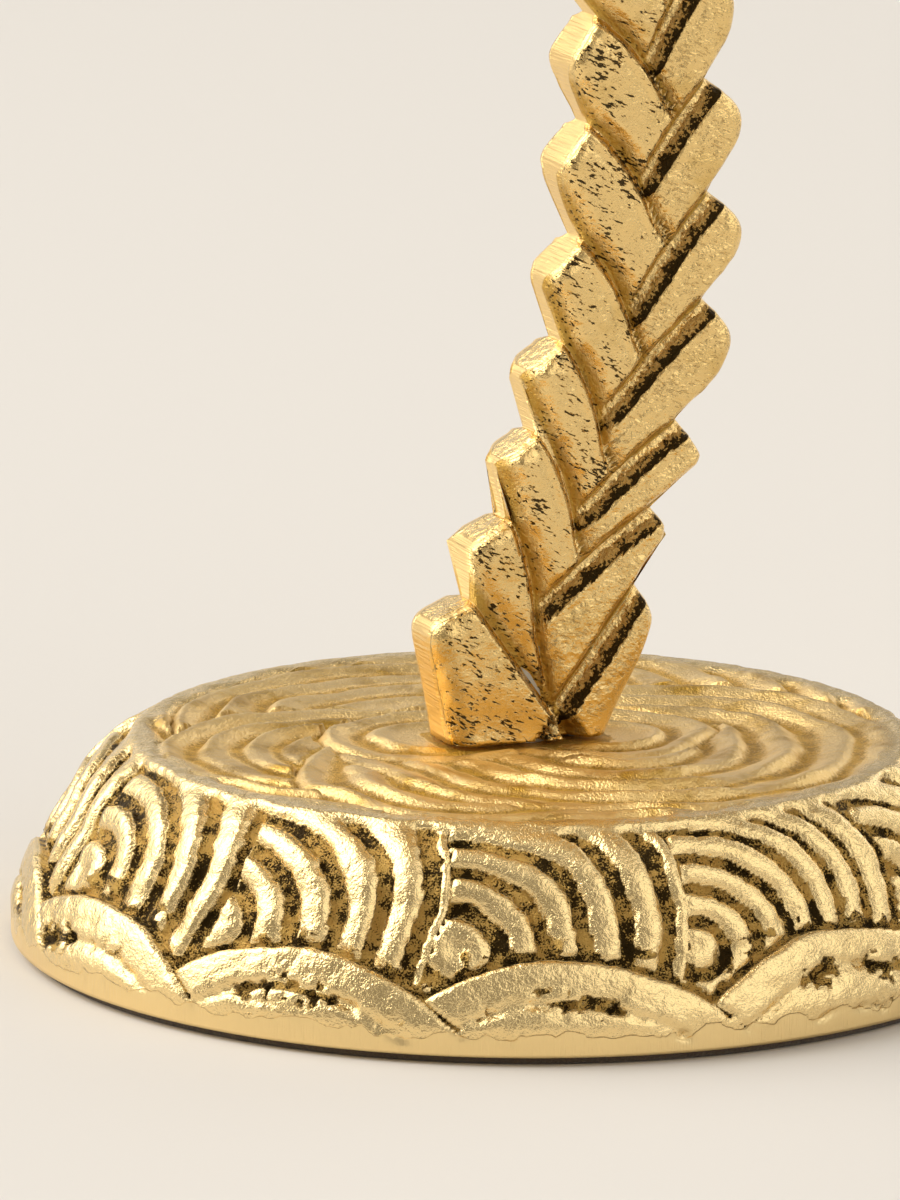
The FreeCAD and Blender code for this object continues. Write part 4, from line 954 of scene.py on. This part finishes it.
class Maker(Nodes):
    """Makes the nodes of one material, or of the world."""

    def __init__(self, owner):
        self.owner = bpy.data.materials.new(owner) if isinstance(owner, str) else owner
        self.owner.use_nodes = True
        super().__init__(self.owner.node_tree)
        self.tree.nodes.clear()
        place = self.tree.nodes.new("ShaderNodeTexCoord")
        self.place, self.ways = Wire(self, place.outputs["Object"]), Wire(self, place.outputs["Generated"])

    def attribute(self, name):
        return self.node("ShaderNodeAttribute", {"attribute_name": name}, {}, "Fac")

    def noise(self, size, detail=2.0, roughness=0.55, stretch=None, turn=0.0):
        """Noise from 0 to 1 whose grains are about this many millimetres across, turned about Y and stretched."""
        place = self.place
        if turn:
            place = self.node(
                "ShaderNodeMapping", {"vector_type": "TEXTURE"}, {"Vector": place, "Rotation": (0.0, turn, 0.0)})
        if stretch:
            place = self.node("ShaderNodeMapping", {}, {"Vector": place, "Scale": stretch})
        return self.node(
            "ShaderNodeTexNoise", {},
            {"Vector": place, "Scale": 1.0 / (size * MM), "Detail": detail, "Roughness": roughness})

    def ramp(self, low, high, value):
        """Smooth climb from 0 at low to 1 at high."""
        return self.node(
            "ShaderNodeMapRange", {"interpolation_type": "SMOOTHSTEP"},
            {"Value": value, "From Min": low, "From Max": high})

    def mix(self, share, a, b):
        """Colour that goes from a to b."""
        return self.node("ShaderNodeMix", {"data_type": "RGBA"}, {0: share, 6: a, 7: b}, 2)

    def finish(self, height=None, distance=0.0, **sockets):
        """Principled surface with these sockets, bumped by a height of this many millimetres."""
        values = {key.replace("_", " "): value for key, value in sockets.items()}
        if height is not None:
            values["Normal"] = self.node("ShaderNodeBump", {}, {"Height": height, "Distance": distance * MM})
        surface = self.node("ShaderNodeBsdfPrincipled", {}, values, "BSDF")
        self.node("ShaderNodeOutputMaterial", {}, {"Surface": surface})
        return self.owner


# Deep gold serves as random tone and as painted shade in the carving's recesses; the near-black colours pits and
# dark specks, and painted shade in the trunk's coves
GOLD = (0.93, 0.70, 0.335, 1.0)
WARM_GOLD = (0.91, 0.645, 0.265, 1.0)
DEEP_GOLD = (0.52, 0.295, 0.030, 1.0)
PITS_AND_SHADE_BLACK = (0.016, 0.009, 0.003, 1.0)
LATHE_GOLD, LATHE_GOLD_DULL = (0.90, 0.69, 0.33, 1.0), (0.74, 0.51, 0.19, 1.0)
ZINC, ZINC_DULL = (0.56, 0.57, 0.58, 1.0), (0.38, 0.39, 0.41, 1.0)
FELT_DARK, FELT_PALE = (0.055, 0.040, 0.028, 1.0), (0.14, 0.105, 0.075, 1.0)


def carved_gold():
    """Base: polished ridges, rough grainy valleys with dark specks and painted shade, a painted contact shadow round
    the trunk's foot, and a ground rim band.
    """
    m = Maker("carved_gold")
    grit, coarse = m.noise(0.3, 3.0, 0.7), m.noise(1.3)
    ground = m.ramp(0.35, 0.65, m.attribute("ground") + (coarse - 0.5) * 0.7)
    cast = 1.0 - ground
    level = m.attribute("level")
    rough = m.ramp(0.38, 0.62, m.attribute("rough") + (grit - 0.5) * 0.55) * cast
    spots = m.noise(0.2, 2.0, 0.6) + (coarse - 0.5) * 0.8 + (m.noise(3.1) - 0.5) * 0.9
    specks = m.ramp(0.475, 0.54, spots) * rough * (1.0 - level * 0.6)
    patina = m.ramp(0.45, 0.75, m.noise(7.0, 3.0, 0.65)) * (level * 0.85 + 0.12) * cast
    tone = m.mix(patina, m.mix(level, GOLD, WARM_GOLD), DEEP_GOLD)
    # Painted shade: the rough valleys, grooves and pits are coloured deep gold, darker than the ridges
    tone = m.mix(rough * (0.70 + level * 0.18), tone, DEEP_GOLD)
    # Dark specks in the rough valleys; round the trunk's foot they are part of the painted contact shadow
    tone = m.mix(specks * 0.96, tone, PITS_AND_SHADE_BLACK)
    scratches = m.noise(0.16, 1.0, stretch=(1.0, 1.0, 0.06))
    sand, dents = m.noise(0.3, 2.0, 0.6), m.noise(0.9, 1.0)
    height = (
        grit * (rough * 1.6 + level * 0.3 + 0.15) + (coarse * 0.45 + sand * 0.40 + dents * 0.6) * cast
        + scratches * ground * 0.35)
    sheen = 0.15 + rough * 0.16 + level * 0.11 + ground * 0.12 + m.noise(4.0) * 0.10
    return m.finish(height, 0.2, Base_Color=tone, Metallic=1.0, Roughness=sheen)


def scaled_gold():
    """Trunk: smooth pitted faces, rough coves under the scales' edges with painted shade, and ground side walls."""
    m = Maker("scaled_gold")
    grit, coarse, patches, blotch = m.noise(0.34, 3.0, 0.65), m.noise(1.3), m.noise(4.5, 1.0), m.noise(2.6)
    cove, right = m.attribute("strip"), m.attribute("right")
    ground = m.ramp(0.4, 0.7, m.attribute("ground") + (coarse - 0.5) * 0.3)
    cast = 1.0 - ground
    strip = m.ramp(0.30, 0.55, cove + (grit - 0.5) * 0.7 + (coarse - 0.5) * 0.5) * cast
    # Painted shade: a black band runs along each cove under a scale's edge
    cove_shade = m.ramp(0.56, 0.66, cove + (grit - 0.5) * 1.7 + (coarse - 0.5) * 0.7 + (blotch - 0.5) * 0.9) * cast
    low = m.ramp(0.25, 0.75, m.attribute("low") + (grit - 0.5) * 0.5)
    dashes = m.noise(0.55, 2.0, 0.6, stretch=(0.55, 1.0, 1.7), turn=0.45)
    pits = m.ramp(0.60, 0.66, dashes + (patches - 0.5) * 0.42) * cast * (1.0 - right * 0.75)
    patina = m.ramp(0.5, 0.8, m.noise(6.0, 3.0, 0.65)) * 0.45 * cast
    # Painted shade: deep gold where the faces dive into grooves and into the foot's valley, mixed with random patina
    tone = m.mix((low * 0.8).top(patina), WARM_GOLD, DEEP_GOLD)
    # Painted shade: the cove strips darken to deep gold
    tone = m.mix(strip * 0.4, tone, DEEP_GOLD)
    # Near-black for the pits, which are real, and for the painted shade in the coves
    tone = m.mix(cove_shade.top(pits) * 0.95, tone, PITS_AND_SHADE_BLACK)
    lines = m.noise(0.30, 1.0, 0.5, stretch=(1.0, 0.05, 1.0))
    leather, dents, sand = m.noise(0.9, 2.0, 0.6), m.noise(2.4, 1.0), m.noise(0.28, 2.0, 0.6)
    height = (
        grit * (strip * 1.8 + low * 0.6 + 0.10) - pits * 0.6 + lines * ground * 0.5
        + (leather * (right * 0.6 + 0.35) + dents * 0.9 + coarse * 0.3 + sand * 0.22) * cast)
    sheen = 0.18 + strip * 0.20 + low * 0.14 + ground * 0.14 + patches * 0.10
    return m.finish(height, 0.3, Base_Color=tone, Metallic=1.0, Roughness=sheen)


def frond_gold():
    """Fronds, hub and cap: soft cast gold with a little pitting."""
    m = Maker("frond_gold")
    grit, coarse = m.noise(0.4, 3.0, 0.6), m.noise(1.8)
    pits = m.ramp(0.64, 0.70, grit + (m.noise(5.0) - 0.5) * 0.4)
    tone = m.mix(pits * 0.85, m.mix(m.ramp(0.35, 0.75, coarse) * 0.35, GOLD, DEEP_GOLD), PITS_AND_SHADE_BLACK)
    height = grit * 0.15 + coarse * 0.3 - pits * 0.35
    return m.finish(height, 0.15, Base_Color=tone, Metallic=1.0, Roughness=0.2 + coarse * 0.18)


def turned_gold():
    """Cup and ring: satin gold with the fine lines of the lathe."""
    m = Maker("turned_gold")
    lines, cloud = m.noise(0.25, 1.0, 0.5, stretch=(0.02, 0.02, 1.0)), m.noise(7.0, 1.0)
    tone = m.mix(cloud * 0.3, LATHE_GOLD, LATHE_GOLD_DULL)
    return m.finish(lines, 0.03, Base_Color=tone, Metallic=1.0, Roughness=0.2 + cloud * 0.14)


def zinc_steel():
    """Screws, washers and pins: dull plated steel."""
    m = Maker("zinc_steel")
    lines, cloud = m.noise(0.2, 1.0, 0.5, stretch=(1.0, 1.0, 0.1)), m.noise(2.0, 3.0)
    return m.finish(
        lines, 0.03, Base_Color=m.mix(cloud, ZINC, ZINC_DULL), Metallic=1.0, Roughness=0.3 + cloud * 0.2)


def brown_felt():
    """Felt pad: short matted fibres."""
    m = Maker("brown_felt")
    fibre, tuft = m.noise(0.3, 4.0, 0.75), m.noise(1.2)
    return m.finish(
        fibre + tuft * 0.6, 0.35, Base_Color=m.mix(fibre, FELT_DARK, FELT_PALE), Roughness=0.95, Sheen_Weight=0.3)


def dress(piece, material):
    """Gives every slot of the piece this material."""
    if not piece.data.materials:
        piece.data.materials.append(material)
    for k in range(len(piece.data.materials)):
        piece.data.materials[k] = material


def place_piece(piece, body, material, slot, *nodes):
    """The piece in its material, moving with its body, in place of these nodes."""
    dress(piece, material)
    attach(piece, body)
    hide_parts(*nodes)


FROND, TURNED, STEEL = frond_gold(), turned_gold(), zinc_steel()
place_piece(base_body(), "stand", carved_gold(), "cast_gold", "base")
place_piece(trunk_body(), "stand", scaled_gold(), "cast_gold", "trunk")
grow_fronds(FROND)
place_piece(turned_cup(), "stand", TURNED, "turned_gold", "candle_cup")
place_piece(lift_out_ring(), "candle_ring", TURNED, "turned_gold", "candle_ring")
place_piece(felt_disc(), "stand", brown_felt(), "felt", "felt_pad")
for node in ("crown_hub", "crown_cap"):
    dress(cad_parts[node], FROND)
for node in ("foot_screw", "foot_washer", "foot_lock_washer", "foot_pin", "crown_pin", "cup_washer", "cup_screw"):
    dress(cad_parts[node], STEEL)

# Stage: a pale floor that keeps the object's shadow, under studio light
FLOOR_COLOUR, FLOOR_ROUGHNESS = (0.715, 0.680, 0.627, 1.0), 0.75
FLOOR_HALF_SIZE = 4.0
BACKDROP = (0.83, 0.78, 0.70, 1.0)
# How much of the pale backdrop the metal shows, beside the soft patches
BACKDROP_IN_METAL = 0.32
# Soft studio light as seen from the object: a way to it, its spread in degrees, and its strength
STUDIO_TINT = (1.0, 0.97, 0.93, 1.0)
STUDIO_BASE = 0.05
STUDIO_PATCHES = (
    ((-0.62, 0.45, 0.60), 42.0, 4.3), ((0.80, 0.45, 0.35), 30.0, 2.0),
    ((0.10, 0.95, 0.25), 26.0, 0.9), ((0.36, -0.66, 0.65), 46.0, 1.5),
)
# Lamps: place in metres and power
LAMPS = {"key_light": ((-0.9, 0.35, 1.0), 3.6), "right_light": ((1.1, -0.6, 0.6), 0.8)}
LAMP_SIZE = 0.8
LAMP_TARGET = Vector((0.0, 0.0, 0.06))


def stage_floor():
    size = FLOOR_HALF_SIZE
    mesh = bpy.data.meshes.new("floor")
    mesh.from_pydata([(-size, -size, 0), (size, -size, 0), (size, size, 0), (-size, size, 0)], [], [(0, 1, 2, 3)])
    mesh.materials.append(Maker("pale_floor").finish(Base_Color=FLOOR_COLOUR, Roughness=FLOOR_ROUGHNESS))
    add_object("floor", mesh)


def studio_world():
    """World that shows the pale backdrop, in the metal too, and lights the object with soft patches."""
    world = bpy.data.worlds.new("studio")
    bpy.context.scene.world = world
    m = Maker(world)
    strength = STUDIO_BASE
    for way, spread, share in STUDIO_PATCHES:
        facing = m.node(
            "ShaderNodeVectorMath", {"operation": "DOT_PRODUCT"}, {0: m.ways, 1: Vector(way).normalized()}, "Value")
        strength = strength + m.ramp(math.cos(math.radians(spread)), 1.0, facing) * share
    light = m.node("ShaderNodeBackground", {}, {"Color": STUDIO_TINT, "Strength": strength})
    seen = m.node("ShaderNodeBackground", {}, {"Color": BACKDROP, "Strength": 1.0})
    camera, glossy, through = [
        m.node("ShaderNodeLightPath", {}, {}, f"Is {ray} Ray") for ray in ("Camera", "Glossy", "Transmission")]
    shown = (camera + through + glossy * BACKDROP_IN_METAL).clamped()
    both = m.node("ShaderNodeMixShader", {}, {0: shown, 1: light, 2: seen})
    m.node("ShaderNodeOutputWorld", {}, {"Surface": both})


def soft_lamp(name, place, power):
    data = bpy.data.lights.new(name, "AREA")
    data.shape = "RECTANGLE"
    data.size = data.size_y = LAMP_SIZE
    data.energy = power
    lamp = add_object(name, data)
    lamp.location = place
    lamp.rotation_euler = (Vector(place) - LAMP_TARGET).to_track_quat("Z", "Y").to_euler()


# Camera: fitted to the photograph, whose frame is 900 by 1200 pixels
CAMERA_AZIMUTH, CAMERA_ELEVATION = math.radians(-21.0), math.radians(12.2)
CAMERA_ROLL = math.radians(0.35)
CAMERA_DISTANCE = 0.9
CAMERA_TARGET = Vector((-7.19, 2.76, 36.8)) * MM
FOCAL_PIXELS, FRAME_HEIGHT_PIXELS = 8388.0, 1200.0
SENSOR = 36.0


def photo_camera():
    a, e = CAMERA_AZIMUTH, CAMERA_ELEVATION
    back = Vector((math.sin(a) * math.cos(e), -math.cos(a) * math.cos(e), math.sin(e)))
    side = Vector((math.cos(a), math.sin(a), 0.0))
    turn = Matrix((side, back.cross(side), back)).transposed() @ Matrix.Rotation(CAMERA_ROLL, 3, "Z")
    data = bpy.data.cameras.new("photo_camera")
    data.sensor_fit = "VERTICAL"
    data.sensor_height = SENSOR
    data.lens = FOCAL_PIXELS / FRAME_HEIGHT_PIXELS * SENSOR
    data.clip_start, data.clip_end = 0.05, 30.0
    camera = add_object("photo_camera", data)
    camera.matrix_world = Matrix.Translation(CAMERA_TARGET + back * CAMERA_DISTANCE) @ turn.to_4x4()
    bpy.context.scene.camera = camera


stage_floor()
studio_world()
for name, (place, power) in LAMPS.items():
    soft_lamp(name, place, power)
photo_camera()
bpy.context.scene.view_settings.view_transform = "Standard"
